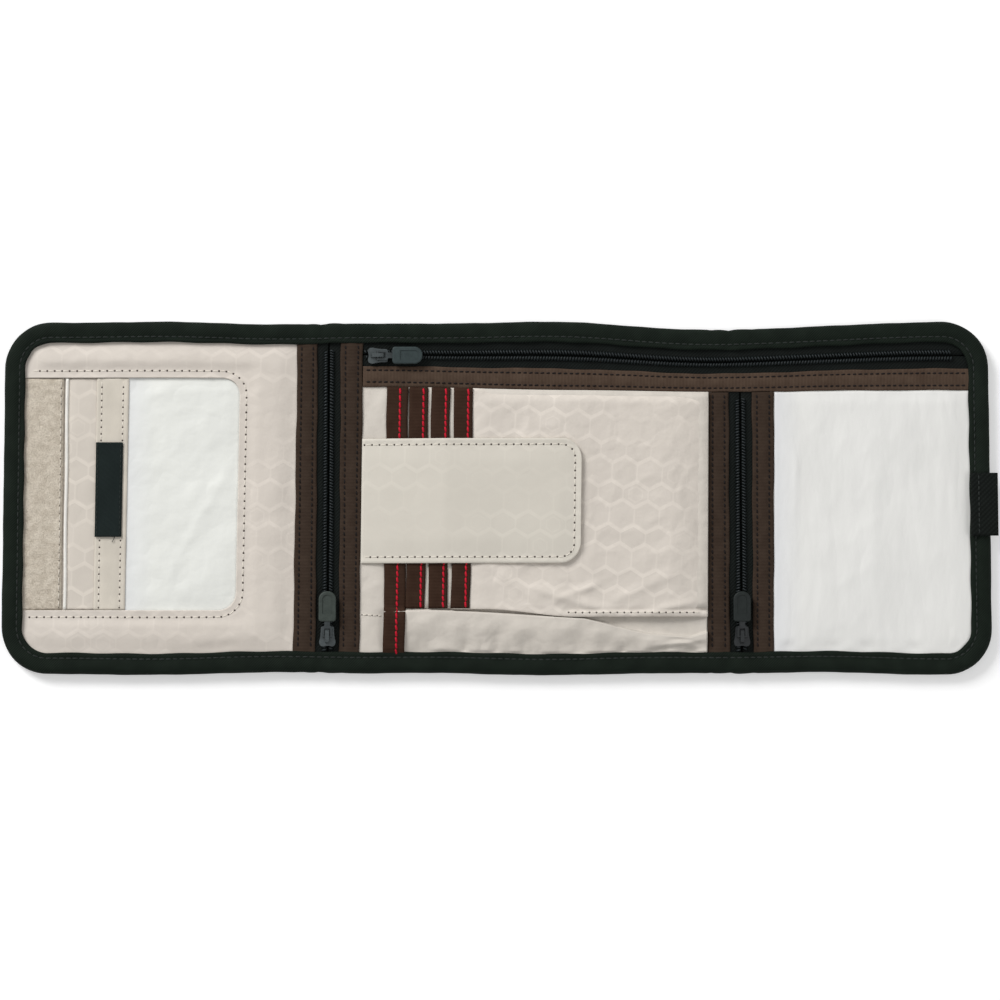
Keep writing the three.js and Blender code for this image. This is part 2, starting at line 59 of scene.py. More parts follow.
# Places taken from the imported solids
BIND_LOW, BIND_HIGH = box_mm("edge_binding")
LEFT, RIGHT = BIND_LOW[0], BIND_HIGH[0]
BOTTOM, TOP = BIND_LOW[1], BIND_HIGH[1]
MIDDLE_X = (LEFT + RIGHT) / 2
CORNER = 20.0
BIND_WIDTH = 9.0
OUTER_SEAM = 1.1
PANEL_LOW, PANEL_HIGH = box_mm("left_panel")
PANEL_RIGHT, PANEL_Z = PANEL_HIGH[0], PANEL_HIGH[2]
PANEL_CLOTH = PANEL_HIGH[2] - PANEL_LOW[2]
BAND_Z = box_mm("top_zip_band")[1][2]
ID_TRIM_LOW, ID_TRIM_HIGH = box_mm("id_trim")
FILM_LOW, FILM_HIGH = box_mm("id_window")
FRONT_LOW, FRONT_HIGH = box_mm("card_slot_3")
FRONT_RIGHT = FRONT_HIGH[0]


# Camera: almost straight above, tilted a little so that the near edge is wider
CAMERA_DISTANCE = 1150.0
CAMERA_TILT = math.radians(4.3)
VIEW_WIDTH = 430.6
SENSOR = 36.0
AIM = (0.0, -1.1, 3.0)

camera_data = bpy.data.cameras.new("camera")
camera_data.sensor_width = SENSOR
camera_data.lens = SENSOR * CAMERA_DISTANCE / VIEW_WIDTH
camera_data.clip_start = 0.05
camera_data.clip_end = 20.0
camera = bpy.data.objects.new("camera", camera_data)
camera.location = (
    AIM[0] * MM,
    (AIM[1] - CAMERA_DISTANCE * math.sin(CAMERA_TILT)) * MM,
    (AIM[2] + CAMERA_DISTANCE * math.cos(CAMERA_TILT)) * MM,
)
camera.rotation_euler = (CAMERA_TILT, 0, 0)
bpy.context.scene.collection.objects.link(camera)
bpy.context.scene.camera = camera
bpy.context.scene.view_settings.view_transform = "Standard"


# Small builder for node materials
class Shader:
    def __init__(self, name, kind=bpy.data.materials, surface="Principled BSDF"):
        self.material = kind.new(name)
        self.material.use_nodes = True
        self.tree = self.material.node_tree
        self.surface = self.tree.nodes[surface]
        self.coords = self.tree.nodes.new("ShaderNodeTexCoord").outputs["Object"]

    def node(self, kind, **settings):
        made = self.tree.nodes.new(kind)
        for key, value in settings.items():
            setattr(made, key, value)
        return made

    def join(self, source, socket):
        if isinstance(source, (int, float, tuple)):
            socket.default_value = source
        else:
            self.tree.links.new(source, socket)

    def math(self, operation, *inputs, clamp=False):
        made = self.node("ShaderNodeMath", operation=operation, use_clamp=clamp)
        for index, value in enumerate(inputs):
            self.join(value, made.inputs[index])
        return made.outputs[0]

    def times(self, first, second):
        return self.math("MULTIPLY", first, second)

    def weighted(self, *terms):
        """Sum of terms, each given as a source and its weight."""
        total = None
        for source, weight in terms:
            part = self.times(source, weight)
            total = part if total is None else self.math("ADD", total, part)
        return total

    def where_seen(self, gain, base):
        """A level for what the camera sees, also in gloss and through films, above a base for other light."""
        rays = self.node("ShaderNodeLightPath")
        level = rays.outputs["Is Camera Ray"]
        for other in ("Is Glossy Ray", "Is Transmission Ray"):
            level = self.math("MAXIMUM", level, rays.outputs[other])
        return self.math("MULTIPLY_ADD", level, gain, base)

    def vector(self, operation, *inputs, output="Vector"):
        made = self.node("ShaderNodeVectorMath", operation=operation)
        for index, value in enumerate(inputs):
            self.join(value, made.inputs[index])
        return made.outputs[output]

    def placed(self, scale, angle=0.0, shift=(0, 0, 0)):
        made = self.node("ShaderNodeMapping")
        made.inputs["Scale"].default_value = scale
        made.inputs["Rotation"].default_value = (0, 0, angle)
        made.inputs["Location"].default_value = shift
        self.join(self.coords, made.inputs["Vector"])
        return made.outputs[0]

    def noise(self, size_mm, detail=2.0, stretch=(1, 1, 1), rough=0.5):
        made = self.node("ShaderNodeTexNoise")
        made.inputs["Scale"].default_value = 1.0
        made.inputs["Detail"].default_value = detail
        made.inputs["Roughness"].default_value = rough
        per_metre = 1000.0 / size_mm
        self.join(self.placed(tuple(per_metre * s for s in stretch)), made.inputs["Vector"])
        return made.outputs["Fac"]

    def ribs(self, pitch_mm, angle=0.0):
        """Sine ribs, one for each pitch, that follow each other along X turned by an angle."""
        made = self.node("ShaderNodeSeparateXYZ")
        self.join(self.placed((1000.0 / pitch_mm,) * 3, angle), made.inputs[0])
        wave = self.math("SINE", self.times(made.outputs[0], 2 * math.pi))
        return self.math("MULTIPLY_ADD", wave, 0.5, 0.5)

    def weave(self, pitch_mm):
        return self.times(self.ribs(pitch_mm), self.ribs(pitch_mm, math.pi / 2))

    def ramp(self, factor, dark, light, low=0.0, high=1.0):
        made = self.node("ShaderNodeMapRange")
        made.inputs["From Min"].default_value = low
        made.inputs["From Max"].default_value = high
        self.join(factor, made.inputs["Value"])
        return self.mix(made.outputs[0], dark, light)

    def shades(self, factor, base, down, up, low=0.0, high=1.0):
        """A base colour, from darker to lighter as the factor goes from low to high."""
        dark, light = (tuple(min(1.0, c * share) for c in base) for share in (down, up))
        return self.ramp(factor, dark, light, low, high)

    def mix(self, factor, first, second):
        made = self.node("ShaderNodeMix", data_type="RGBA")
        self.join(factor, made.inputs["Factor"])
        for value, socket in ((first, made.inputs["A"]), (second, made.inputs["B"])):
            self.join((*value, 1.0) if isinstance(value, tuple) and len(value) == 3 else value, socket)
        return made.outputs["Result"]

    def bump(self, height, depth_mm):
        made = self.node("ShaderNodeBump")
        made.inputs["Distance"].default_value = depth_mm * MM
        made.inputs["Strength"].default_value = 1.0
        self.join(height, made.inputs["Height"])
        self.join(made.outputs[0], self.surface.inputs["Normal"])

    def crumple(self, fine, fine_mm, size_mm, depth_mm, stretch=(1, 1, 1)):
        """Bump from fine weave on top of soft creases."""
        soft = self.noise(size_mm, 3.0, stretch, 0.55)
        folds = self.math("ABSOLUTE", self.math("SUBTRACT", self.noise(size_mm * 1.9, 2.0, stretch), 0.5))
        self.bump(self.weighted((soft, 0.5 * depth_mm), (folds, depth_mm), (fine, fine_mm)), 1.0)

    def finish(self, color, roughness, metallic=0.0, specular=0.3, sheen=0.0, coat=0.0):
        self.join((*color, 1.0) if isinstance(color, tuple) else color, self.surface.inputs["Base Color"])
        self.join(roughness, self.surface.inputs["Roughness"])
        self.surface.inputs["Metallic"].default_value = metallic
        self.surface.inputs["Specular IOR Level"].default_value = specular
        self.surface.inputs["Sheen Weight"].default_value = sheen
        self.surface.inputs["Coat Weight"].default_value = coat
        return self.material


def twill_cloth(name, dark, light, pitch=0.8, angle=math.pi / 4):
    s = Shader(name)
    cross = s.ribs(pitch * 0.8, angle + math.pi / 2)
    weave = s.times(s.ribs(pitch, angle), s.math("MULTIPLY_ADD", cross, 0.5, 0.5))
    tone = s.weighted((weave, 0.55), (s.noise(7.0, 3.0), 0.45))
    s.bump(weave, 0.12)
    return s.finish(s.ramp(tone, dark, light, 0.2, 0.8), 0.75, specular=0.09)


def ribbed_ribbon(name, dark, light, angle):
    s = Shader(name)
    ribs = s.ribs(0.62, angle)
    tone = s.weighted((ribs, 0.4), (s.noise(5.0, 3.0), 0.6))
    s.bump(s.weighted((ribs, 1.0), (s.ribs(0.33, angle + math.pi / 2), 0.3)), 0.06)
    return s.finish(s.ramp(tone, dark, light, 0.2, 0.85), 0.75, specular=0.07)


HEXAGON_CELL = 10.75
HEXAGON_HALF = (0.5, math.sqrt(3) / 2, 0.5)
CLOTH_WEAVE = 0.42


def hexagon_lining(name, base, angle, shift, strength, crumple_mm):
    """Cloth woven with a honeycomb: thin pale walls, some cells a shade darker, some with an inner ring."""
    s = Shader(name)
    per_metre = 1000.0 / HEXAGON_CELL
    p = s.placed((per_metre, per_metre, 0.0), angle, (*shift, 0))
    lower = tuple(-h for h in HEXAGON_HALF)
    first = s.vector("WRAP", p, HEXAGON_HALF, lower)
    second = s.vector("WRAP", s.vector("SUBTRACT", p, HEXAGON_HALF), HEXAGON_HALF, lower)
    lengths = [s.vector("LENGTH", v, output="Value") for v in (first, second)]
    pick = s.node("ShaderNodeMix", data_type="VECTOR")
    s.join(s.math("LESS_THAN", *lengths), pick.inputs["Factor"])
    s.join(second, pick.inputs[4])
    s.join(first, pick.inputs[5])
    inside = pick.outputs[1]
    size = s.vector("ABSOLUTE", inside)
    parts = s.node("ShaderNodeSeparateXYZ")
    s.join(size, parts.inputs[0])
    slanted = s.vector("DOT_PRODUCT", size, (*HEXAGON_HALF[:2], 0.0), output="Value")
    reach = s.math("MAXIMUM", slanted, parts.outputs[0])
    centre = s.vector("ADD", s.vector("SUBTRACT", p, inside), (0.13, 0.17, 0.0))
    chance = s.node("ShaderNodeTexWhiteNoise", noise_dimensions="3D")
    s.join(s.vector("SNAP", centre, (0.25, 0.25, 1.0)), chance.inputs["Vector"])
    lot = chance.outputs["Value"]
    patchy = s.math("SUBTRACT", s.times(s.noise(38.0, 1.0), 3.2), 0.95, clamp=True)
    wall = s.math("SUBTRACT", s.times(reach, 22.0), 10.1, clamp=True)
    off_ring = s.math("ABSOLUTE", s.math("SUBTRACT", reach, 0.27))
    ring = s.math("SUBTRACT", 1.0, s.times(off_ring, 22.0), clamp=True)
    ringed = s.times(ring, s.math("GREATER_THAN", lot, 0.78))
    lines = s.times(s.math("MAXIMUM", wall, s.times(ringed, 0.75)), patchy)
    filled = s.times(s.math("LESS_THAN", lot, 0.62), s.math("LESS_THAN", reach, 0.44))
    weave = s.weave(CLOTH_WEAVE)
    tone = s.times(s.weighted((lines, 0.42), (s.times(filled, patchy), -0.09)), strength)
    mottle = s.math("SUBTRACT", s.noise(14.0, 3.0), 0.5)
    tone = s.weighted((tone, 1.0), (mottle, 0.35), (s.math("SUBTRACT", weave, 0.25), 0.10))
    s.crumple(s.weighted((weave, 0.5), (lines, 0.5)), 0.04, 11.0, crumple_mm)
    return s.finish(s.shades(tone, base, 0.87, 1.13, -0.5, 0.5), 0.6)


def plain_cloth(name, base, crumple_mm=0.9, spread=0.12):
    s = Shader(name)
    weave = s.weave(CLOTH_WEAVE)
    tone = s.weighted((weave, 0.3), (s.noise(10.0, 3.0), 0.7))
    s.crumple(weave, 0.04, 7.0, crumple_mm)
    return s.finish(s.shades(tone, base, 1 - spread, 1 + spread, 0.2, 0.8), 0.7)


def pile_cloth(name, dark, light):
    s = Shader(name)
    fuzz = s.noise(0.75, 4.0, rough=0.8)
    tone = s.weighted((fuzz, 0.6), (s.noise(3.0, 3.0), 0.4))
    s.bump(fuzz, 0.6)
    return s.finish(s.ramp(tone, dark, light, 0.36, 0.64), 0.95, specular=0.1, sheen=0.25)


def milky_film(name, base, cool, shade_edge_x, stretch=(1, 1, 1)):
    """Milky film with soft cloudy tone, and painted shade: a cooler, darker margin near one edge where it
    lifts.
    """
    s = Shader(name)
    color = s.shades(s.noise(45.0, 2.0), base, 0.96, 1.03, 0.3, 0.7)
    split = s.node("ShaderNodeSeparateXYZ")
    s.join(s.coords, split.inputs[0])
    # Painted shade: near the one edge the colour turns towards the cooler, darker tint, as if shaded where the
    # film lifts.
    edge = s.math("DIVIDE", s.math("SUBTRACT", split.outputs[0], shade_edge_x * MM), 0.012)
    margin = s.math("SUBTRACT", 1.0, edge, clamp=True)
    color = s.mix(s.times(margin, 0.6), color, cool)
    s.crumple(s.noise(2.5, 3.0), 0.03, 13.0, 1.1, stretch)
    return s.finish(color, 0.34, specular=0.45, coat=0.15)


def thread(name, base):
    s = Shader(name)
    twist = s.noise(0.5, 2.0)
    s.bump(twist, 0.05)
    return s.finish(s.shades(twist, base, 0.7, 1.25), 0.6, specular=0.12)


def moulded(name, dark, light, roughness, metallic=0.0, specular=0.5):
    s = Shader(name)
    fine = s.noise(0.35, 3.0)
    worn = s.noise(2.4, 3.0)
    tone = s.weighted((fine, 0.4), (worn, 0.6))
    s.bump(fine, 0.02)
    rough = s.math("MULTIPLY_ADD", worn, 0.2, roughness - 0.1)
    return s.finish(s.ramp(tone, dark, light, 0.3, 0.7), rough, metallic=metallic, specular=specular)


MATERIALS = (
    (twill_cloth, (
        ("binding_cloth", (0.0010, 0.0030, 0.0015), (0.0120, 0.0185, 0.0130)),
        ("tape_cloth", (0.0010, 0.0018, 0.0014), (0.0075, 0.0100, 0.0090), 1.1),
        ("shell_cloth", (0.003, 0.0045, 0.004), (0.016, 0.020, 0.018), 1.0),
        ("webbing_cloth", (0.0008, 0.0015, 0.0010), (0.0075, 0.0100, 0.0085), 1.5),
        ("label_cloth", (0.0060, 0.0100, 0.0095), (0.0150, 0.0230, 0.0225), 0.5, 0.2),
    )),
    (ribbed_ribbon, (
        ("ribbon_upright", (0.0260, 0.0160, 0.0110), (0.0560, 0.0380, 0.0270), math.pi / 2),
        # The ribbon that lies across is the upright ribbon's brown made about 1.75 times lighter: painted
        # light.
        ("ribbon_level", (0.0455, 0.0280, 0.01925), (0.1008, 0.0684, 0.0486), 0.0),
        ("slot_ribbon", (0.023, 0.010, 0.006), (0.050, 0.027, 0.017), math.pi / 2),
    )),
    (hexagon_lining, (
        ("panel_lining", (0.632, 0.577, 0.517), 0.02, (0.2, 0.1), 0.7, 1.0),
        ("strip_lining", (0.615, 0.562, 0.497), 0.03, (0.52, 0.3), 1.0, 0.7),
        ("front_lining", (0.655, 0.599, 0.536), 0.07, (0.1, 0.4), 0.85, 1.3),
        ("flap_lining", (0.620, 0.582, 0.512), 0.03, (0.35, 0.2), 0.5, 0.4),
    )),
    (plain_cloth, (
        ("plain_lining", (0.640, 0.592, 0.530)), ("trim_lining", (0.630, 0.580, 0.500), 0.4),
        ("piping_cloth", (0.80, 0.78, 0.73), 0.9, 0.05),
    )),
    (pile_cloth, (
        ("hook_cloth", (0.006, 0.007, 0.007), (0.03, 0.033, 0.032)),
        ("loop_pile", (0.48, 0.415, 0.330), (0.76, 0.685, 0.575)),
    )),
    (milky_film, (
        ("window_film", (0.775, 0.782, 0.740), (0.68, 0.69, 0.71), FILM_LOW[0] + 13),
        ("panel_film", (0.780, 0.775, 0.748), (0.66, 0.67, 0.70), box_mm("right_window")[0][0],
         (1.4, 0.45, 1)),
    )),
    (thread, (
        # hole_shade is painted shade for the needle holes by the stitches.
        ("beige_thread", (0.74, 0.69, 0.61)), ("hole_shade", (0.10, 0.08, 0.07)),
        ("dark_thread", (0.007, 0.005, 0.005)), ("black_thread", (0.024, 0.028, 0.026)),
        ("red_thread", (0.52, 0.010, 0.030)),
    )),
    (moulded, (
        ("coil_nylon", (0.004, 0.006, 0.007), (0.011, 0.016, 0.018), 0.42, 0.0, 0.25),
        ("slider_paint", (0.026, 0.033, 0.035), (0.062, 0.074, 0.077), 0.38, 0.4),
        ("link_paint", (0.012, 0.016, 0.017), (0.036, 0.044, 0.047), 0.36, 0.45),
        ("dark_slider_paint", (0.003, 0.004, 0.005), (0.012, 0.015, 0.016), 0.36, 0.4),
        ("grip_grey", (0.024, 0.031, 0.027), (0.046, 0.057, 0.050), 0.55, 0.0, 0.2),
        ("grip_slate", (0.017, 0.026, 0.027), (0.034, 0.048, 0.049), 0.52, 0.0, 0.2),
        ("grip_dark", (0.003, 0.005, 0.005), (0.010, 0.014, 0.013), 0.52, 0.0, 0.2),
    )),
)
paints = {row[0]: kind(*row) for kind, rows in MATERIALS for row in rows}


# Cloth settles: near the right fold the top edge sags inward, and every edge wavers a little
SAG_CENTRE = 92.0
SAG_SPREAD = 40.0
SAG_DEPTH = 2.9
ZIP_HOLD = 13.0
FOLD_LEFT = (box_mm("left_zip_outer_coil")[1][0] + box_mm("left_zip_inner_coil")[0][0]) / 2
FOLD_RIGHT = (box_mm("right_zip_inner_coil")[1][0] + box_mm("right_zip_outer_coil")[0][0]) / 2


def smooth(t):
    t = np.clip(t, 0.0, 1.0)
    return t * t * (3 - 2 * t)


def between(value, low, high, rise, fall=None):
    """Soft window: 1 well inside low and high, 0 outside them."""
    return smooth((value - low) / rise) * smooth((high - value) / (fall or rise))


def waves(x, y, seed, size):
    """Soft unevenness, about -1 to 1: a sum of sines in several directions."""
    rng = random.Random(seed)
    total = 0.0
    for _ in range(6):
        turn = rng.uniform(-math.pi, math.pi) / 2
        k = 2 * math.pi / (size * rng.uniform(0.7, 1.6))
        total = total + np.sin(k * (x * math.cos(turn) + y * math.sin(turn)) + rng.uniform(0, 6.28))
    return total / 3.2


def crease(x, y, start, end, width, height):
    """One soft fold along a line, highest on the line and fading at both ends."""
    ax, ay = start
    bx, by = end
    length = math.hypot(bx - ax, by - ay)
    ux, uy = (bx - ax) / length, (by - ay) / length
    along = ((x - ax) * ux + (y - ay) * uy) / length
    off = (x - ax) * uy - (y - ay) * ux
    return height * between(along, 0.0, 1.0, 0.3) * np.exp(-((off / width) ** 2))


def creases(x, y, rows):
    return sum(crease(x, y, *row) for row in rows)


def dip(value, width):
    """Bell shape, 1 at zero."""
    return math.exp(-((value / width) ** 2))


def crumple(x, y, seed, size):
    """Small soft ridges between flatter patches, from 0 to about 1."""
    near = 1.0 - np.minimum(1.0, np.abs(waves(x, y, seed, size)))
    far = 1.0 - np.minimum(1.0, np.abs(waves(x + 40.0, y - 30.0, seed + 1, size * 1.8)))
    return 0.55 * near ** 3 + 0.45 * far ** 3


def settle(points):
    x, y, z = points[:, 0], points[:, 1], points[:, 2]
    sag = SAG_DEPTH * np.exp(-(((x - SAG_CENTRE) / SAG_SPREAD) ** 2)) * smooth((y - 34.0) / 34.0)
    rise = 1.6 * between(y, 36.0, 73.0, 12.0, 22.0) * between(x, -96.0, 30.0, 34.0, 90.0)
    edge = smooth((np.abs(y) - 45.0) / 25.0)
    waver = edge * (0.45 * np.sin(x / 31.0 + 0.8) + 0.25 * np.sin(x / 13.0))
    lean = 0.013 * y * between(x, LEFT + 16.0, RIGHT - 16.0, 60.0)
    for fold in (FOLD_LEFT, FOLD_RIGHT):
        lean = lean * (1.0 - np.exp(-(((x - fold) / ZIP_HOLD) ** 2)))
    return np.stack([x + lean, y - sag + rise + waver * np.sign(y), z], axis=1)


def make(name, points, faces, material, replaces=(), slot=None, more=(), face_slots=None, warp=True):
    points = np.asarray(points, float)
    if warp:
        points = settle(points)
    mesh = bpy.data.meshes.new(name)
    mesh.from_pydata((points * MM).tolist(), [], faces)
    for paint in (material, *more):
        mesh.materials.append(paints[paint])
    mesh.polygons.foreach_set("use_smooth", [True] * len(mesh.polygons))
    if face_slots is not None:
        mesh.polygons.foreach_set("material_index", face_slots)
    mesh.validate()
    made = bpy.data.objects.new(name, mesh)
    bpy.context.scene.collection.objects.link(made)
    if replaces:
        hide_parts(*replaces)
    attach(made, "wallet")
    return made


def cap(start, around, strip):
    """Faces over one section: a single face, or for a long thin section a strip of short ones."""
    if not strip:
        return [tuple(range(start, start + around))]
    faces = []
    for i in range((around - 1) // 2):
        j = around - 1 - i
        corners = [start + i, start + i + 1, start + j - 1, start + j]
        faces.append(tuple(dict.fromkeys(corners)))
    return faces


def loft(name, loops, material, ring=False, strip=False, **options):
    """A closed skin over sections with equally many points. The ends are capped unless it is a ring."""
    loops = [np.asarray(loop, float) for loop in loops]
    count, around = len(loops), len(loops[0])
    faces = []
    for i in range(count if ring else count - 1):
        a, b = i * around, ((i + 1) % count) * around
        for j in range(around):
            k = (j + 1) % around
            faces.append((a + j, a + k, b + k, b + j))
    if not ring:
        faces += [face[::-1] for face in cap(0, around, strip)]
        faces += cap((count - 1) * around, around, strip)
    made = make(name, np.concatenate(loops), faces, material, **options)
    face_outwards(made)
    return made


def face_outwards(made):
    work = bmesh.new()
    work.from_mesh(made.data)
    bmesh.ops.recalc_face_normals(work, faces=work.faces)
    work.to_mesh(made.data)
    work.free()


def section(first, last, count, place, top, thickness):
    """Closed cross-section of a sheet: its top from first to last, its underside, and round edges."""
    edge = min(thickness / 2, 0.35)
    inner = np.linspace(first + edge, last - edge, count)
    across = np.concatenate([[first + 0.3 * edge], inner, [last - 0.3 * edge]])
    ups = np.array([top(a) for a in across])
    downs = ups - thickness
    for end in (0, -1):
        ups[end] -= 0.3 * thickness
        downs[end] += 0.3 * thickness
    points = [place(a, z) for a, z in zip(across, ups)]
    points.append(place(last, top(last) - thickness / 2))
    points += [place(a, z) for a, z in zip(across[::-1], downs[::-1])]
    points.append(place(first, top(first) - thickness / 2))
    return points


NARROWEST_SHEET = 10.0


def sheet_y(name, x0, x1, y0, y1, top, thickness, material, step, on=(), **options):
    """A sheet lofted along Y. x0 and x1 are numbers, or functions of y; top gives its height at x and y."""
    rows = max(4, int((y1 - y0) / step))
    left = x0 if callable(x0) else (lambda y: x0)
    right = x1 if callable(x1) else (lambda y: x1)
    widest = right((y0 + y1) / 2) - left((y0 + y1) / 2)
    count = max(4, int(widest / step))
    loops = []
    for y in np.linspace(y0, y1, rows + 1):
        loops.append(section(left(y), right(y), count, lambda x, z: (x, y, z), lambda x: top(x, y),
                             thickness))
    made = loft(name, loops, material, strip=True, **options)
    if min(widest, y1 - y0) >= NARROWEST_SHEET:
        list(on)
    return made


def cover(name, node, material, slot, thickness, step, top=0.0, x0=None, x1=None, trim=(0.0, 0.0), on=()):
    """A sheet in place of a node. top is a function of x and y, or a depth below the node's own top."""
    low, high = box_mm(node)
    left = low[0] if x0 is None else x0
    right = high[0] if x1 is None else x1
    surface = top if callable(top) else (lambda x, y: high[2] - top)
    sheet_y(name, left, right, low[1] + trim[0], high[1] - trim[1], surface, thickness, material, step,
            on=on, replaces=(node,), slot=slot)


def outline_reach(y, inset):
    """Half the length of the wallet's outline, drawn smaller by an inset, at height y."""
    radius = CORNER - inset
    above = abs(y - (TOP + BOTTOM) / 2) - ((TOP - BOTTOM) / 2 - CORNER)
    if above <= 0:
        return (RIGHT - LEFT) / 2 - inset
    return (RIGHT - LEFT) / 2 - CORNER + math.sqrt(max(0.0, radius ** 2 - above ** 2))


def left_side(y):
    return MIDDLE_X - outline_reach(y, OUTER_SEAM)


def right_side(y):
    return MIDDLE_X + outline_reach(y, OUTER_SEAM)


# Thin tubes for threads and coil turns
SIDES = 6
ROUND = [2 * math.pi * k / SIDES for k in range(SIDES)]


def close_tube(points, faces, rings):
    """Faces for the rings of points that were just added, with both ends closed."""
    base = len(points) - rings * SIDES
    for start in range(base, len(points) - SIDES, SIDES):
        for k in range(SIDES):
            a, b = start + k, start + (k + 1) % SIDES
            faces.append((a, b, b + SIDES, a + SIDES))
    faces.append(tuple(range(base, base + SIDES))[::-1])
    faces.append(tuple(range(len(points) - SIDES, len(points))))


# Stitches: short bowed threads, some with a dark hole mark between them, which is painted shade for the needle
# hole. A station is place, fatness and rise.
STATIONS = ((-0.5, 0.45, -0.35), (-0.36, 1.0, 0.45), (0.0, 1.12, 1.0), (0.36, 1.0, 0.45), (0.5, 0.45, -0.35))


def stitches(name, route, height, material, pitch=2.5, length=1.7, radius=0.2, lean=0.0, hole=0.0, bow=0.16):
    """route is a list of points (x, y); height gives the cloth's surface at a point."""
    route = [np.array(p, float) for p in route]
    legs = [np.linalg.norm(b - a) for a, b in zip(route, route[1:])]
    total = sum(legs)
    points, faces, slots = [], [], []

    def at(s):
        for a, b, leg in zip(route, route[1:], legs):
            if s <= leg or b is route[-1]:
                u = (b - a) / leg
                return a + u * min(s, leg), u
            s -= leg

    fit = total / (pitch * max(1, round(total / pitch)))
    pitch, length = pitch * fit, length * fit
    s = (pitch - length) / 2
    rng = random.Random(name)
    while s + length < total:
        reach = length * rng.uniform(0.92, 1.06)
        middle, u = at(s + length / 2)
        side = np.array([-u[1], u[0]])
        tilt = lean + rng.uniform(-0.06, 0.06)
        u = u * math.cos(tilt) + side * math.sin(tilt)
        side = np.array([-u[1], u[0]])
        for t, fat, lift in STATIONS:
            spot = middle + u * reach * t
            z = height(*spot) + bow * lift
            for turn in ROUND:
                out = spot + side * radius * fat * math.cos(turn)
                points.append((*out, z + radius * fat * 0.85 * math.sin(turn)))
        close_tube(points, faces, len(STATIONS))
        slots += [0] * (len(faces) - len(slots))
        # A small dark cone at the needle hole: painted shade.
        if hole:
            (x, y), _ = at(s - (pitch - length) / 2)
            z = height(x, y) + 0.06
            base = len(points)
            points.append((x, y, z + 0.03))
            points += [(x + hole * math.cos(turn), y + hole * math.sin(turn), z) for turn in ROUND]
            points.append((x, y, z - 0.25))
            for k in range(SIDES):
                a, b = base + 1 + k, base + 1 + (k + 1) % SIDES
                faces += [(base, a, b), (base + 1 + SIDES, b, a)]
            slots += [1] * (len(faces) - len(slots))
        s += pitch
    return make(name, points, faces, material, more=("hole_shade",) if hole else (), face_slots=slots)


def rounded_route(start_x, corner_x, corner_ys, radius, sign, count):
    """Route along one side, round two corners on the right, and back. sign is 1 from the bottom up."""
    quarter = sign * math.pi / 2
    route = [(start_x, corner_ys[0] - sign * radius), (corner_x, corner_ys[0] - sign * radius)]
    for centre_y, (first, last) in zip(corner_ys, ((-quarter, 0), (0, quarter))):
        for a in np.linspace(first, last, count):
            route.append((corner_x + radius * math.cos(a), centre_y + radius * math.sin(a)))
    route.append((start_x, corner_ys[1] + sign * radius))
    return route

# Edge binding
BIND_PROFILE = (
    (8.9, 0.35), (8.5, 0.05), (6.0, 0.0), (3.4, 0.02), (1.7, 0.25), (0.7, 0.85), (0.12, 1.75), (0.0, 2.7),
    (0.18, 3.7), (0.75, 4.65), (1.7, 5.2), (2.9, 5.42), (4.2, 5.42), (5.4, 5.25), (6.2, 4.95), (6.75, 4.8),
    (7.3, 4.95), (7.9, 5.1), (8.5, 5.02), (8.95, 4.8), (9.1, 4.5), (8.95, 4.32), (8.3, 4.3), (5.0, 4.3),
    (1.7, 4.25), (1.05, 3.6), (0.95, 2.4), (1.1, 1.2), (1.8, 0.85), (5.0, 0.82), (8.4, 0.8),
)
STITCH_INSET = 6.75
BIND_TOP_Z = 4.85
BIND_LIMIT_Z = 5.5

UNDER_THREAD_Z = 0.21
PATH_STEP = 2.0
ARC_STEPS = 16


def under_thread(x, y):
    return UNDER_THREAD_Z


def outline_path(inset):
    """Points and outward directions round the outline, drawn smaller by an inset."""
    r = CORNER - inset
    out = []
    corners = (
        (RIGHT - CORNER, BOTTOM + CORNER, -math.pi / 2), (RIGHT - CORNER, TOP - CORNER, 0.0),
        (LEFT + CORNER, TOP - CORNER, math.pi / 2), (LEFT + CORNER, BOTTOM + CORNER, math.pi),
    )
    for index, (cx, cy, start) in enumerate(corners):
        for k in range(ARC_STEPS + 1):
            a = start + math.pi / 2 * k / ARC_STEPS
            out.append((cx + r * math.cos(a), cy + r * math.sin(a), math.cos(a), math.sin(a)))
        nx, ny, next_start = corners[(index + 1) % 4]
        a = start + math.pi / 2
        p = np.array([cx + r * math.cos(a), cy + r * math.sin(a)])
        q = np.array([nx + r * math.cos(next_start), ny + r * math.sin(next_start)])
        pieces = max(2, int(np.linalg.norm(q - p) / PATH_STEP))
        for k in range(1, pieces):
            m = p + (q - p) * k / pieces
            out.append((m[0], m[1], math.cos(a), math.sin(a)))
    return out


def binding_lift(x, y):
    """How much fatter or flatter the binding is at a place: soft lumps, and a dent at each fold."""
    lump = 0.26 * math.sin(x / 9.0 + y / 7.0) + 0.22 * math.sin(x / 4.1 - y / 5.3 + 1.0)
    lump += 0.12 * math.sin(x / 1.9 + y / 2.3)
    dent = 0.0
    if abs(y) > TOP - CORNER:
        for fold in (FOLD_LEFT - 3, FOLD_RIGHT - 5):
            for away, width, depth in ((0.0, 1.7, 1.7), (4.5, 2.5, -0.6), (-7.5, 1.3, 0.8), (10.0, 1.2, 0.6)):
                dent += depth * dip(x - fold - away, width)
    return lump - dent


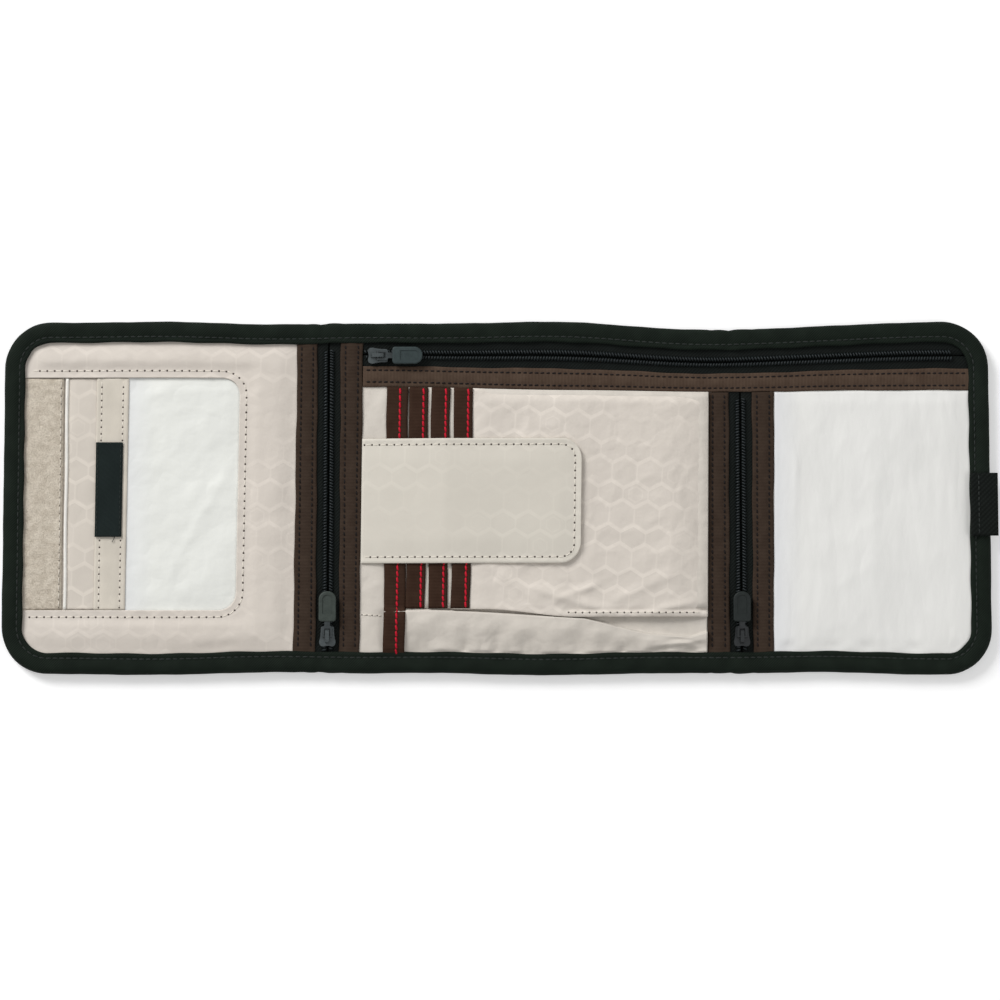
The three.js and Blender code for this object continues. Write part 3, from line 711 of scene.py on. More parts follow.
def build_binding():
    loops = []
    for bx, by, nx, ny in outline_path(0.0):
        lift = binding_lift(bx, by)
        loop = []
        for d, z in BIND_PROFILE:
            share = max(0.0, min(1.0, (z - 4.4) / 1.2))
            puff = 1.0 - max(0.0, min(1.0, d / 2.0))
            wobble = 0.16 * math.sin(bx / 3.7 + by / 3.1) if d > 8 else 0.0
            reach = d + wobble - puff * 0.25 * lift
            loop.append((bx - nx * reach, by - ny * reach, min(BIND_LIMIT_Z, z + share * 0.7 * lift)))
        loops.append(loop)
    binding = loft("binding", loops, "binding_cloth", ring=True, replaces=("edge_binding",),
                   slot="black_cloth")
    route = [p[:2] for p in outline_path(STITCH_INSET)]
    route.append(route[0])

    def top(x, y):
        return min(BIND_LIMIT_Z - 0.5, BIND_TOP_Z + 0.35 * binding_lift(x, y))
    stitches("binding_stitches", route, top, "black_thread", pitch=2.9, length=2.2, radius=0.26, bow=0.2)
    stitches("binding_stitches_under", route, under_thread, "black_thread", pitch=2.7, length=2.1, bow=-0.05)


# Outer shell and hook strip, seen from below
def build_outside():
    shell_top = box_mm("outer_shell")[1][2]

    def under(x, y):
        inner = smooth((outline_reach(y, 9.5) - np.abs(x - MIDDLE_X)) / 12) * smooth((TOP - 9.5 - abs(y)) / 12)
        return shell_top + inner * (0.12 * waves(x, y, 3, 60) - 0.05)
    sides = {"x0": left_side, "x1": right_side, "trim": (0.1, 0.1)}
    cover("outer_cover", "outer_shell", "shell_cloth", "black_cloth", 0.55, 3.0, under, **sides)
    cover("inner_lining", "pocket_lining", "plain_lining", "beige_lining", 0.3, 4.0, 0.03, **sides)
    cover("hook_tape", "hook_strip", "hook_cloth", "hook_tape", 0.75, 1.5)
    low, high = box_mm("hook_strip")
    edge = 1.3
    x0, y0, x1, y1 = low[0] + edge, low[1] + edge, high[0] - edge, high[1] - edge
    corners = ((x0, y0), (x1, y0), (x1, y1), (x0, y1), (x0, y0))
    stitches("hook_tape_stitches", corners, under_thread, "black_thread", pitch=2.6, length=1.9, radius=0.18,
             bow=-0.05)

build_outside()
build_binding()


# Left panel, its opening and the identity pocket
OPEN_RIGHT = FILM_HIGH[0] - 6.0
OPEN_LOW = ID_TRIM_LOW[1] - 0.1
OPEN_HIGH = ID_TRIM_HIGH[1] + 0.1
OPEN_CORNER = 7.5
PANEL_FOLDS = (
    ((-150, -66.5), (-105, -60.5), 2.4, 0.5), ((-118, -64), (-88, -66), 2.0, 0.4),
    ((-92, -58), (-80, -20), 2.2, 0.25),
)


def panel_top(x, y):
    """Surface of the left panel: soft and slightly raised, low at the binding, the rim and the ribbon."""
    side = between(x, LEFT + 10, PANEL_RIGHT - 1.5, 10, 9) * smooth((TOP - 9.2 - abs(y)) / 8)
    past = abs(y - (OPEN_LOW + OPEN_HIGH) / 2) - (OPEN_HIGH - OPEN_LOW) / 2
    rim = max(smooth((x - OPEN_RIGHT - 3.2) / 6), smooth((past - 3.2) / 4))
    ripple = 0.16 * waves(x, y, 11, 34) + 0.22 * crumple(x, y, 13, 17)
    return PANEL_Z + side * (0.25 + 0.75 * rim + ripple + creases(x, y, PANEL_FOLDS))


def panel_outer_y(x, sign):
    """Where the panel ends inside the binding, above or below a place on its rim."""
    inside = max(0.0, LEFT + CORNER - x)
    return sign * (TOP - CORNER + math.sqrt(max(0.0, (CORNER - OUTER_SEAM) ** 2 - inside ** 2)))


def build_left_panel():
    x_start = LEFT + OUTER_SEAM
    arc_x = OPEN_RIGHT - OPEN_CORNER
    corner_ys = (OPEN_LOW + OPEN_CORNER, OPEN_HIGH - OPEN_CORNER)
    rim, outer = [], []
    steps = 36
    for x in np.linspace(x_start + 0.3, arc_x, steps):
        rim.append((x, OPEN_LOW))
        outer.append((x, panel_outer_y(x, -1)))
    for sign, centre_y in zip((-1, 1), corner_ys):
        turns = np.linspace(-math.pi / 2, 0, 14)[1:] if sign < 0 else np.linspace(0, math.pi / 2, 14)
        for a in turns:
            rim.append((arc_x + OPEN_CORNER * math.cos(a), centre_y + OPEN_CORNER * math.sin(a)))
            span_x = (PANEL_RIGHT - arc_x) / max(1e-6, math.cos(a))
            span_y = (TOP - OUTER_SEAM - abs(centre_y)) / max(1e-6, abs(math.sin(a)))
            reach = min(span_x, span_y)
            outer.append((arc_x + reach * math.cos(a), centre_y + reach * math.sin(a)))
        if sign < 0:
            for y in np.linspace(centre_y, corner_ys[1], steps)[1:-1]:
                rim.append((OPEN_RIGHT, y))
                outer.append((PANEL_RIGHT, y))
    for x in np.linspace(arc_x, x_start + 0.3, steps)[1:]:
        rim.append((x, OPEN_HIGH))
        outer.append((x, panel_outer_y(x, 1)))
    loops = []
    shares = np.concatenate([[0.006, 0.02, 0.05], np.linspace(0.09, 1.0, 22)])
    for (rx, ry), (ox, oy) in zip(rim, outer):
        z = panel_top(rx, ry)
        ups, downs = [(rx, ry, z - 0.2)], [(rx, ry, z - PANEL_CLOTH - 0.1)]
        for t in shares:
            x, y = rx + (ox - rx) * t, ry + (oy - ry) * t
            z = panel_top(x, y)
            ups.append((x, y, z + 0.12 * dip(t, 0.03)))
            downs.append((x, y, min(z - PANEL_CLOTH, PANEL_LOW[2] + 0.9)))
        loops.append(ups + downs[::-1])
    panel = loft("left_panel_cloth", loops, "panel_lining", replaces=("left_panel",), slot="beige_lining")
    route = rounded_route(LEFT + 12, arc_x, corner_ys, OPEN_CORNER + 3.0, 1, 9)
    stitches("opening_stitches", route, panel_top, "beige_thread", pitch=3.2, length=2.2, bow=0.0, hole=0.46)


build_left_panel()

WINDOW_FOLDS = (
    ((-150, -48), (-112, 22), 2.2, 0.30), ((-156, -22), (-132, -46), 1.6, 0.32),
    ((-128, 44), (-124, 18), 3.0, 0.2), ((-140, 8), (-116, -12), 2.6, 0.2),
)
LABEL_RISE = 1.8


def window_top(x, y):
    """Surface of the clear window: lifted a little, with a few soft folds."""
    side = between(x, ID_TRIM_HIGH[0], OPEN_RIGHT + 2, 8) * between(y, OPEN_LOW, OPEN_HIGH, 7)
    soft = 0.14 * waves(x, y, 21, 38) + 0.3 * crumple(x, y, 23, 15)
    return FILM_HIGH[2] + side * (0.3 + soft + creases(x, y, WINDOW_FOLDS))


def build_loop_tape():
    low, high = box_mm("loop_strip")

    def loop_top(x, y):
        near = smooth((high[0] - x) / 1.5) * between(y, low[1], high[1], 1.2)
        return high[2] - 0.5 + near * (0.45 + 0.1 * waves(x, y, 31, 5))
    cover("loop_tape", "loop_strip", "loop_pile", "loop_pile", 0.9, 0.9, loop_top)
    edge = high[0] - 1.1
    stitches("loop_tape_stitches", [(edge, low[1] + 1), (edge, high[1] - 1)], loop_top, "beige_thread",
             pitch=3.4, length=2.2, radius=0.17, hole=0.26)
    # A strip of pocket cloth stands between the piping and the trim, a little lower than both
    left, right = box_mm("loop_edge_piping")[0][0] + 0.8, ID_TRIM_LOW[0] + 1.2

    def strip_surface(x, y):
        return 2.92 + 0.22 * between(x, left, right, 3, 4) * (1 + 0.6 * waves(x, y, 41, 26))
    sheet_y("pocket_strip", left, right, low[1], high[1], strip_surface, 0.3, "strip_lining", 1.2,
            slot="beige_lining")


def build_piping():
    low, high = box_mm("loop_edge_piping")
    middle, radius = (low[0] + high[0]) / 2, 0.72
    loops = []
    for y in np.linspace(low[1] + 0.2, high[1] - 0.2, 70):
        x = middle + 0.12 * math.sin(y / 8)
        loops.append([(x + radius * math.cos(a), y, 3.1 + 0.8 * radius * math.sin(a))
                      for a in np.linspace(0, 2 * math.pi, 12, endpoint=False)])
    loft("piping", loops, "piping_cloth", replaces=("loop_edge_piping",), slot="white_piping")


def trim_top(x, y, low, high):
    """Surface of the trim: pulled down along both rows of stitches, and a little uneven."""
    rows = dip(x - low[0] - 2.2, 0.8) + dip(x - high[0] + 2.4, 0.8)
    return high[2] + 0.22 - 0.2 * rows + 0.06 * waves(x, y, 51, 12)


def build_identity_trim():
    low, high = ID_TRIM_LOW, ID_TRIM_HIGH

    def top(x, y):
        return trim_top(x, y, low, high)
    cover("identity_trim", "id_trim", "trim_lining", "beige_lining", 0.5, 0.8, top, trim=(0.1, 0.1))
    for index, x in enumerate((low[0] + 2.2, high[0] - 2.4)):
        route = [(x, low[1] + 1), (x, high[1] - 1)]
        stitches(f"identity_trim_stitches_{index + 1}", route, top, "beige_thread", pitch=2.9, length=2.0,
                 bow=0.0, hole=0.42)


def build_label():
    low, high = box_mm("woven_label")
    low[1], high[1] = low[1] + LABEL_RISE, high[1] + LABEL_RISE

    def top(x, y):
        end = min(y - low[1], high[1] - y)
        return high[2] + 0.3 + 0.1 * math.sin((x - low[0]) / 3.7) + 0.25 * math.exp(-end / 1.2)
    cover("label", "woven_label", "label_cloth", "black_cloth", 0.32, 0.8, top, trim=(LABEL_RISE, -LABEL_RISE))
    for index, x in enumerate((low[0] + 0.9, high[0] - 0.9)):
        stitches(f"label_stitches_{index + 1}", [(x, low[1] + 0.6), (x, high[1] - 0.6)], top, "black_thread",
                 pitch=2.2, length=1.5, radius=0.14)
    loose = [(high[0] - 4.0, low[1] - 2.4), (high[0] - 2.8, low[1] + 0.2), (high[0] - 1.4, low[1] - 2.2)]
    stitches("label_loose_threads", loose, lambda x, y: trim_top(x, y, low, high), "black_thread", pitch=1.9,
             length=1.9, radius=0.13)


# The identity pocket inside the opening
cover("identity_backing", "id_backing", "strip_lining", "beige_lining", 0.28, 2.5, x0=LEFT + OUTER_SEAM)
cover("window_film_sheet", "id_window", "window_film", "milky_film", 0.18, 1.5, window_top)
build_loop_tape()
build_piping()
build_identity_trim()
build_label()


# Brown ribbons over the edges of the zip tapes
ROW_INSET = 2.0


def ribbon_height(across, width, along, seed):
    rows = sum(dip(across - r, 0.75) for r in (ROW_INSET, width - ROW_INSET))
    edge = math.exp(-across / 0.5) + math.exp(-(width - across) / 0.5)
    swell = 0.3 * math.sin(math.pi * across / width)
    ripple = 0.07 * math.sin(along / 2.6 + seed) * rows + 0.10 * waves(along, across, seed, 21)
    return BAND_Z + 0.12 + swell - 0.22 * rows - 0.1 * edge + ripple


def build_ribbon(node, material, upright, seed):
    low, high = box_mm(node)
    axis, other = (0, 1) if upright else (1, 0)
    width = high[axis] - low[axis]
    loops = []
    for along in np.arange(low[other], high[other] + 0.01, 1.1):
        shake = 0.14 * math.sin(along / 7.0 + seed) + 0.08 * math.sin(along / 2.9 + seed)

        def top(a, along=along):
            return ribbon_height(a - low[axis], width, along, seed)

        def place(a, z, along=along, shake=shake):
            return (a + shake, along, z) if upright else (along, a + shake, z)
        loops.append(section(low[axis], high[axis], 14, place, top, 0.5))
    loft(node + "_ribbon", loops, material, strip=True, replaces=(node,), slot="brown_ribbon")

    def surface(x, y):
        return ribbon_height((x if upright else y) - low[axis], width, y if upright else x, seed)
    for index, inset in enumerate((ROW_INSET, width - ROW_INSET)):
        a = low[axis] + inset
        start, end = low[other] + (1 if node.startswith("top") else 10), high[other] - 9
        if node.startswith("right"):
            end = high[other] - 1
        route = [(a, start), (a, end)] if upright else [(start, a), (end, a)]
        stitches(f"{node}_stitches_{index + 1}", route, surface, "dark_thread", length=1.75, radius=0.3,
                 lean=0.1)


for number, (node, upright) in enumerate((
    ("left_zip_outer_band", True), ("left_zip_inner_band", True), ("right_zip_inner_band", True),
    ("right_zip_outer_band", True), ("top_zip_band", False),
)):
    # The ribbon that lies across gets the lighter copy of the brown, which is painted light.
    build_ribbon(node, "ribbon_upright" if upright else "ribbon_level", upright, 2 + number)


# Zip tapes and coil turns
TOP_ZIP_Y = (box_mm("top_zip_upper_coil")[0][1] + box_mm("top_zip_lower_coil")[1][1]) / 2
SLIT = 0.32
PAINTED_SHADE_TOP = 2.05

ZIPS = (
    ("left_zip", ("outer", "inner"), True, FOLD_LEFT), ("right_zip", ("inner", "outer"), True, FOLD_RIGHT),
    ("top_zip", ("upper", "lower"), False, TOP_ZIP_Y),
)


def build_tape(node, upright, centre):
    low, high = box_mm(node)
    axis = 0 if upright else 1
    if high[axis] < centre:
        high[axis] = centre - SLIT
    else:
        low[axis] = centre + SLIT

    def end(y):
        return min(high[0], MIDDLE_X + outline_reach(y, 1.2))

    def top(x, y):
        return high[2] - 0.02 + 0.05 * math.sin(x / 3.0 + y / 5.0)
    sheet_y(node + "_cloth", low[0], end, low[1], high[1], top, 0.42, "tape_cloth", 2.4, replaces=(node,),
            slot="black_cloth")
    # Under each slit a thin dark sheet of tape cloth: painted shade where one looks down into the pocket.
    if node.endswith(("outer_tape", "upper_tape")):
        low[axis], high[axis] = centre - 1.6, centre + 1.6
        sheet_y(node + "_shade", low[0], high[0] if upright else high[0] - 6, low[1], high[1],
                lambda x, y: PAINTED_SHADE_TOP, 0.1, "tape_cloth", 2.4, slot="black_cloth")


for zip_name, sides, upright, centre in ZIPS:
    for side in sides:
        build_tape(f"{zip_name}_{side}_tape", upright, centre)

TURN_PITCH = 1.27
TURN_RADIUS = 0.34
# Bends of one turn: distance from the centre line, height, lean along the zip, fatness
BENDS = (
    (2.0, 3.75, 0.0, 1.0), (1.88, 4.25, 0.08, 1.0), (1.4, 4.64, 0.18, 1.0), (1.2, 4.72, 0.34, 1.0),
    (0.77, 4.52, 0.50, 0.85), (0.52, 4.05, 0.56, 0.6),
)


def build_coil(node, upright, centre, direction):
    """Turns of a nylon coil: each is a bent tube from the tape up, over, and down at the centre line."""
    low, high = box_mm(node)
    axis = 1 if upright else 0
    start, end = low[axis] + 0.6, high[axis] - 0.6
    offset = 0.0 if direction > 0 else TURN_PITCH / 2
    points, faces = [], []
    for turn in range(int((end - start - 1) / TURN_PITCH)):
        s0 = start + offset + turn * TURN_PITCH
        line = [np.array([s0 + lean, across, z]) for across, z, lean, _ in BENDS]
        for i, p in enumerate(line):
            u = line[min(i + 1, len(line) - 1)] - line[max(i - 1, 0)]
            u = u / np.linalg.norm(u)
            side = np.array([1.0, 0.0, 0.0]) - u * u[0]
            side = side / np.linalg.norm(side)
            up = np.cross(u, side)
            for a in ROUND:
                out = TURN_RADIUS * BENDS[i][3] * (math.cos(a) * side * 1.15 + math.sin(a) * up)
                along, across, z = p + out
                across *= direction
                points.append((centre - across, along, z) if upright else (along, centre + across, z))
        close_tube(points, faces, len(line))
    made = make(node + "_turns", points, faces, "coil_nylon", replaces=(node,), slot="coil_nylon")
    face_outwards(made)


for zip_name, sides, upright, centre in ZIPS:
    for side, direction in zip(sides, (1, -1)):
        build_coil(f"{zip_name}_{side}_coil", upright, centre, direction)


# Sliders, links and grips stay as solids, with softened edges
def dress(node, material, width):
    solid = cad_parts[node]
    solid.data.materials.clear()
    solid.data.materials.append(paints[material])
    soften = solid.modifiers.new("soften", "BEVEL")
    soften.width = width * MM
    soften.segments = 2
    soften.limit_method = "ANGLE"
    soften.angle_limit = math.radians(35)


for zip_name, body_paint, pull_paint, grip_finish in (
    ("left_zip", "slider_paint", "link_paint", "grip_grey"),
    ("top_zip", "slider_paint", "link_paint", "grip_slate"),
    ("right_zip", "dark_slider_paint", "dark_slider_paint", "grip_dark"),
):
    dress(f"{zip_name}_slider", body_paint, 0.16)
    dress(f"{zip_name}_puller_link", pull_paint, 0.12)
    dress(f"{zip_name}_puller_grip", grip_finish, 0.14)


# Centre: backing, passport pocket, card slots and flap
def build_centre():
    high = box_mm("centre_backing")[1]
    trim_low, trim_high = box_mm("passport_trim")
    mouth = trim_low[0]
    band_edge = box_mm("left_zip_inner_band")[1][0]
    folds = (
        ((band_edge, -42), (mouth, -36), 2.4, 0.45), ((band_edge, -34), (mouth, -44), 1.8, -0.3),
        ((band_edge + 1, 44), (mouth, 18), 2.4, 0.3),
    )

    def backing_top(x, y):
        side = smooth((x - band_edge) / 3) * between(y, BOTTOM + 10, trim_high[1], 5, 4)
        near = smooth((mouth + 6 - x) / 4)
        return high[2] - 0.03 + near * side * (0.25 + 0.2 * waves(x, y, 61, 12) + creases(x, y, folds))
    cover("centre_backing_cloth", "centre_backing", "plain_lining", "beige_lining", 0.42, 1.6, backing_top,
          trim=(0.1, 0.0))
    seam_y = -50.6
    stitches("centre_seam_stitches", [(band_edge + 1, seam_y), (mouth - 0.4, seam_y - 0.4)], backing_top,
             "beige_thread", pitch=2.3, length=1.5, hole=0.3)


build_centre()

# Upper edge of the puckered strip: it leaves the slots' lower end and falls towards the right
STRIP_EDGE = (
    (-46.0, -49.3), (-31.0, -48.9), (-8.6, -49.8), (37.0, -52.4), (62.8, -58.9), (82.2, -60.6), (91.0, -57.6),
)
POCKET_FLAT = 4.35
POCKET_CREST = 7.3


def strip_edge(x):
    xs, ys = zip(*STRIP_EDGE)
    return float(np.interp(x, xs, ys))


def strip_top(x, y):
    """Surface of the passport pocket: flat behind the slots, then a full, puckered fold along the bottom."""
    edge = strip_edge(x)
    inner = BOTTOM + BIND_WIDTH
    if y <= inner:
        return POCKET_FLAT
    down = (y - inner) / (edge - inner)
    right = smooth((x - 20) / 60)
    crest = POCKET_CREST - 0.9 * right
    if down >= 1.0:
        step = smooth((y - edge) / 1.1)
        return (1 - step) * crest + step * POCKET_FLAT
    body = POCKET_FLAT + (crest - POCKET_FLAT) * smooth(down / 0.75) ** 0.8
    pucker = dip(down, 0.36) * smooth(down / 0.08)
    gather = x / 5.4 + 0.5 * math.sin(x / 11.0)
    body += pucker * (1.1 * abs(math.sin(gather)) - 0.5 + 0.4 * abs(math.sin(2.3 * gather + 0.6)))
    middle = smooth(down / 0.3) * smooth((1.05 - down) / 0.4)
    body += middle * (0.22 * math.sin(x / 8.5 + 0.7) + 0.3 * waves(x, y, 71, 13))
    folds = (((64, -64.5), (88, -61.5), 1.3, 0.9), ((72, -59), (90, -64), 1.2, -0.7))
    return body + middle * right * creases(x, y, folds)


def build_passport_pocket():
    low, high = box_mm("passport_pocket")
    inner = BOTTOM + BIND_WIDTH
    loops = []
    for x in np.linspace(low[0], high[0], 190):
        edge = strip_edge(x)
        ys = np.concatenate([
            np.linspace(low[1] + 0.2, inner, 5), np.linspace(inner + 0.5, edge - 0.4, 30),
            np.linspace(edge, edge + 1.2, 6), np.linspace(edge + 2.0, high[1], 12),
        ])
        tops = [(x, y, strip_top(x, y)) for y in ys]
        lows = [(x, y, min(z - 0.3, 4.05 + max(0.0, z - 4.9))) for x, y, z in tops[::-1]]
        loops.append(tops + lows)
    pocket = loft("passport_pocket_cloth", loops, "plain_lining", strip=True, replaces=("passport_pocket",),
                  slot="beige_lining")


build_passport_pocket()


def fold_section(left, right, low_z, top, wall):
    """Ribbon folded round a mouth: over the top, round the mouth, and back below."""
    ups = [(x, top(x)) for x in np.linspace(right, left + 0.55, 9)]
    middle = (top(left) + low_z) / 2
    nose = [(left + 0.18, top(left) - 0.14), (left, middle + 0.12), (left, middle - 0.12)]
    nose.append((left + 0.18, low_z + 0.1))
    downs = [(x, low_z) for x in np.linspace(left + 0.55, right - 0.6, 3)]
    back = [(x, low_z + wall) for x in np.linspace(right - 0.6, left + 0.7, 3)]
    return ups + nose + downs + back + [(x, top(x) - wall) for x in np.linspace(left + 0.7, right, 4)]


def build_trim(node, bottom, upper, stitch_inset, lift, name):
    """A ribbon round a pocket's mouth. lift gives how far it is raised at a height y."""
    low, high = box_mm(node)
    left, right = low[0], high[0]

    def top(x, y):
        row = dip(x - right + stitch_inset, 0.7)
        fold = 0.18 * smooth((x - left) / 1.2)
        return high[2] + lift(y) - 0.05 + fold - 0.16 * row + 0.05 * math.sin(y / 3.3 + left)
    loops = []
    for y in np.linspace(bottom, upper, int((upper - bottom) / 1.2)):
        shake = 0.16 * math.sin(y / 9.0 + left) + 0.06 * math.sin(y / 3.1)
        loop = fold_section(left, right, low[2] + lift(y), lambda x: top(x, y), 0.22)
        loops.append([(x + shake, y, z) for x, z in loop])
    loft(name, loops, "slot_ribbon", replaces=(node,), slot="brown_ribbon")
    x = right - stitch_inset
    stitches(name + "_stitches", [(x, bottom + 0.3), (x, upper - 0.3)], top, "red_thread", pitch=2.6,
             length=2.5, radius=0.42, lean=0.14)


def build_slots():
    low, high = box_mm("passport_trim")
    places = (low[0] + 0.4, (low[0] + high[0]) / 2, high[0])

    def over_pocket(y):
        return max(4.7, 0.4 + max(strip_top(x, y) for x in places)) - high[2]
    build_trim("passport_trim", BOTTOM + BIND_WIDTH - 1.5, high[1], 3.6, over_pocket, "passport_ribbon")
    for tier in (1, 2, 3):
        low_y, high_y = (corner[1] for corner in box_mm(f"card_trim_{tier}"))
        build_trim(f"card_trim_{tier}", low_y, high_y, 1.9, lambda y: 0.0, f"card_ribbon_{tier}")
    for tier in (1, 2):
        cover(f"card_slot_cloth_{tier}", f"card_slot_{tier}", "plain_lining", "beige_lining", 0.26, 3.0,
              trim=(0.1, 0.0))


build_slots()

# Front slot face: it hangs slightly full, with its sewn hem at the bottom right
FRONT_FOLDS = (
    ((10, -38), (54, -51), 2.0, 1.0), ((20, -46), (46, -36), 1.5, 0.7), ((-6, -28), (22, -49), 1.8, 0.6),
    ((46, -46), (82, -30), 2.4, 0.6), ((58, -51), (89, -44), 1.6, 0.8), ((6, 30), (36, 12), 3.2, 0.45),
    ((66, 20), (86, -24), 4.5, 0.4), ((28, -28), (38, -50), 1.5, -0.35),
)


def front_bottom(x):
    return FRONT_LOW[1] - 0.3 - 3.2 * smooth((x + 6) / 40)


def front_top(x, y):
    left = FRONT_LOW[0]
    below = FRONT_HIGH[1] - y
    side = between(x, left + 6, FRONT_RIGHT, 10, 7) * smooth(below / 6)
    sink = smooth((FRONT_RIGHT - x) / 16)
    edge_down = 1.3 * (1 - sink) + 1.6 * (1 - smooth(below / 5)) * smooth((x - left - 8) / 10)
    up = y - front_bottom(x)
    hem = 0.35 * (dip(up - 1.2, 1.1) - dip(up - 2.9, 0.8)) * smooth((x - 20) / 20)
    soft = 0.22 * waves(x, y, 81, 42) + 0.34 * crumple(x, y, 83, 18)
    return FRONT_HIGH[2] - min(edge_down, 2.1) + side * (0.4 + soft + creases(x, y, FRONT_FOLDS)) + hem


def build_front():
    left, right = FRONT_LOW[0], FRONT_RIGHT + 0.2
    loops = []
    for x in np.linspace(left, right, 130):
        bottom = front_bottom(x)
        ys = np.concatenate([np.linspace(bottom, bottom + 4, 8), np.linspace(bottom + 5, FRONT_HIGH[1], 84)])
        z = [front_top(x, y) for y in ys]
        tops = [(x, y, h) for y, h in zip(ys, z)]
        tops[0] = (x, ys[0] + 0.05, z[0] - 0.12)
        lows = [(x, y, h - 0.32) for y, h in zip(ys[::-1], z[::-1])]
        loops.append([(x, ys[0] - 0.1, z[0] - 0.25)] + tops + lows)
    face = loft("front_slot_cloth", loops, "front_lining", strip=True, replaces=("card_slot_3",),
                slot="beige_lining")
    route = [(x, front_bottom(x) + 1.7) for x in np.linspace(30, right - 3, 12)]
    stitches("front_hem_stitches", route, front_top, "beige_thread", pitch=2.9, length=2.0, bow=0.0, hole=0.42)


build_front()


# Flap over the mouths
def build_flap():
    low, high = box_mm("centre_flap")
    root, end = low[0], high[0]
    bottom, upper = low[1], high[1]
    corner = 8.6
    root_z = 4.3
    climb = box_mm("card_trim_3")[0][0] - 1 - root

    def top(x, y):
        base = root_z + (high[2] - root_z) * min(1.0, (x - root) / climb * 1.06)
        edge = min(y - bottom, upper - y, (end - x))
        lift = 0.85 * smooth((x - end + 40) / 40)
        hem = 0.22 * dip(edge, 1.8) - 0.10 * dip(edge - 2.7, 1.3)
        return base + lift + hem + smooth((edge - 3) / 8) * (0.35 + 0.12 * waves(x, y, 91, 30))

    loops = []
    arc = end - corner + corner * np.sin(np.linspace(0.06, math.pi / 2, 18))
    for x in np.concatenate([np.linspace(root, end - corner, 70), arc]):
        inside = max(0.0, x - (end - corner))
        cut = min(corner - math.sqrt(max(0.0, corner ** 2 - inside ** 2)), corner - 0.4)
        loops.append(section(bottom + cut, upper - cut, 56, lambda y, z: (x, y, z), lambda y: top(x, y), 0.62))
    flap = loft("flap_cloth", loops, "flap_lining", strip=True, replaces=("centre_flap",), slot="beige_lining")
    route = rounded_route(root + 1, end - corner, (upper - corner, bottom + corner), corner - 2.7, -1, 8)
    stitches("flap_stitches", route, top, "beige_thread", pitch=3.2, length=2.2, bow=0.04, hole=0.46)


build_flap()

# Right panel: backing and milky film, puckered along its lower seam
FILM_FOLDS = (
    ((127.5, 26), (126.5, -18), 0.8, 0.5), ((160, 44), (162, -60), 6.0, 0.55),
    ((132, -30), (150, -58), 4.0, 0.3), ((176, 10), (190, -40), 5.0, 0.35),
)


def build_right_panel():
    low, high = box_mm("right_window")
    seam = BOTTOM + BIND_WIDTH

    def film_top(x, y):
        reach = outline_reach(y, BIND_WIDTH + 0.4) + MIDDLE_X
        side = between(x, low[0] + 0.5, reach, 7) * between(y, seam, high[1], 7, 6)
        soft = 0.22 * waves(x, y, 101, 50) + 0.34 * crumple(x * 1.5, y * 0.5, 103, 20)
        pucker = 0.28 * dip(y - seam - 2.2, 2.0) * (math.sin(x / 2.9) + 0.7 * math.sin(x / 1.7 + 1))
        pucker = pucker * between(x, low[0] + 2, reach, 5, 6)
        return high[2] + side * (0.45 + soft + creases(x, y, FILM_FOLDS)) + pucker
    cover("right_backing_cloth", "right_backing", "plain_lining", "beige_lining", 0.4, 3.0, 0.04, x1=right_side,
          trim=(0.2, 0.0))
    cover("milky_panel", "right_window", "panel_film", "milky_film", 0.2, 1.3, film_top, x0=low[0] + 0.1,
          x1=right_side, trim=(0.2, 0.0), on=("right_backing_cloth",))


build_right_panel()


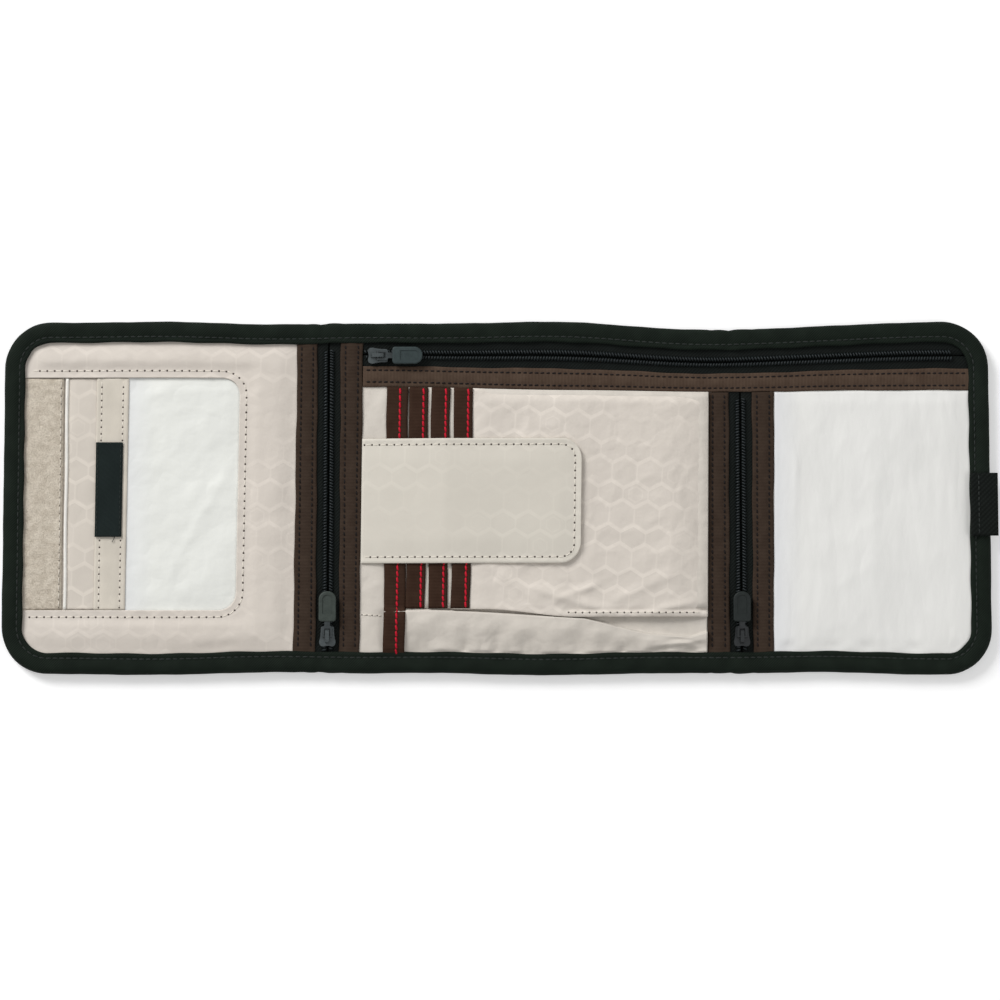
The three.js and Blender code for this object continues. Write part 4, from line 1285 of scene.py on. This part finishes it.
# Webbing tab on the right edge
def build_tab():
    low, high = box_mm("pull_tab")
    wall = 0.62
    base = low[2] + 0.35
    loops = []
    for y in np.linspace(low[1], high[1], 26):
        shake = 0.08 * math.sin(y / 3.0)
        loop = [(low[0] + shake, base), (high[0] - 1.0, base - 0.25)]
        for a in np.linspace(-math.pi / 2, math.pi / 2, 9)[1:-1]:
            loop.append((high[0] - 0.78 + 0.78 * math.cos(a), base + 0.5 + 0.75 * math.sin(a)))
        loop += [(high[0] - 1.0, base + 1.25)]
        for x in np.linspace(high[0] - 1.8, low[0] + 0.3, 10):
            dent = 0.22 * math.exp(-(((x - low[0] - 3.4) / 0.8) ** 2))
            loop.append((x, base + 1.2 - dent))
        end = low[0] + shake
        turn_back = high[0] - 1.4
        loop += [(end, base + 1.05), (end + 0.05, base + 1.2 - wall), (turn_back, base + 1.2 - wall),
                 (turn_back, base + 0.52), (end + 0.05, base + 0.5)]
        loops.append([(x, y, z) for x, z in loop])
    tab = loft("edge_tab", loops, "webbing_cloth", replaces=("pull_tab",), slot="webbing", warp=False)
    x = low[0] + 3.4
    stitches("edge_tab_stitches", [(x, low[1] + 0.8), (x, high[1] - 0.8)], lambda x, y: base + 1.02,
             "black_thread", pitch=2.4, length=1.8, radius=0.24)


build_tab()


# Studio: pale floor, soft lamps at a plain level
WHITE = (1.0, 1.0, 1.0, 1.0)
FLOOR_HALF = 0.8
FLOOR_DROP = 0.0002


def build_studio():
    scene = bpy.context.scene
    sky = Shader("studio", bpy.data.worlds, "Background")
    scene.world = sky.material
    sky.join(WHITE, sky.surface.inputs["Color"])
    sky.join(sky.where_seen(0.66, 0.34), sky.surface.inputs["Strength"])
    mesh = bpy.data.meshes.new("floor")
    corners = [(x * FLOOR_HALF, y * FLOOR_HALF, 0) for x, y in ((-1, -1), (1, -1), (1, 1), (-1, 1))]
    mesh.from_pydata(corners, [], [(0, 1, 2, 3)])
    floor = bpy.data.objects.new("floor", mesh)
    floor.location.z = -FLOOR_DROP
    scene.collection.objects.link(floor)
    s = Shader("floor_paint")
    s.join(WHITE, s.surface.inputs["Emission Color"])
    s.join(s.where_seen(0.26, 0.0), s.surface.inputs["Emission Strength"])
    mesh.materials.append(s.finish((0.90, 0.90, 0.90), 0.9, specular=0.1))
    for name, place, size, power in (
        ("key", (-1.55, 1.60, 1.35), 1.1, 65.0), ("fill", (1.6, -0.6, 1.9), 1.4, 14.0),
    ):
        lamp_data = bpy.data.lights.new(name, "AREA")
        lamp_data.size = size
        lamp_data.energy = power
        lamp = bpy.data.objects.new(name, lamp_data)
        lamp.location = place
        lamp.rotation_euler = (-Vector(place)).to_track_quat("-Z", "Y").to_euler()
        scene.collection.objects.link(lamp)


build_studio()
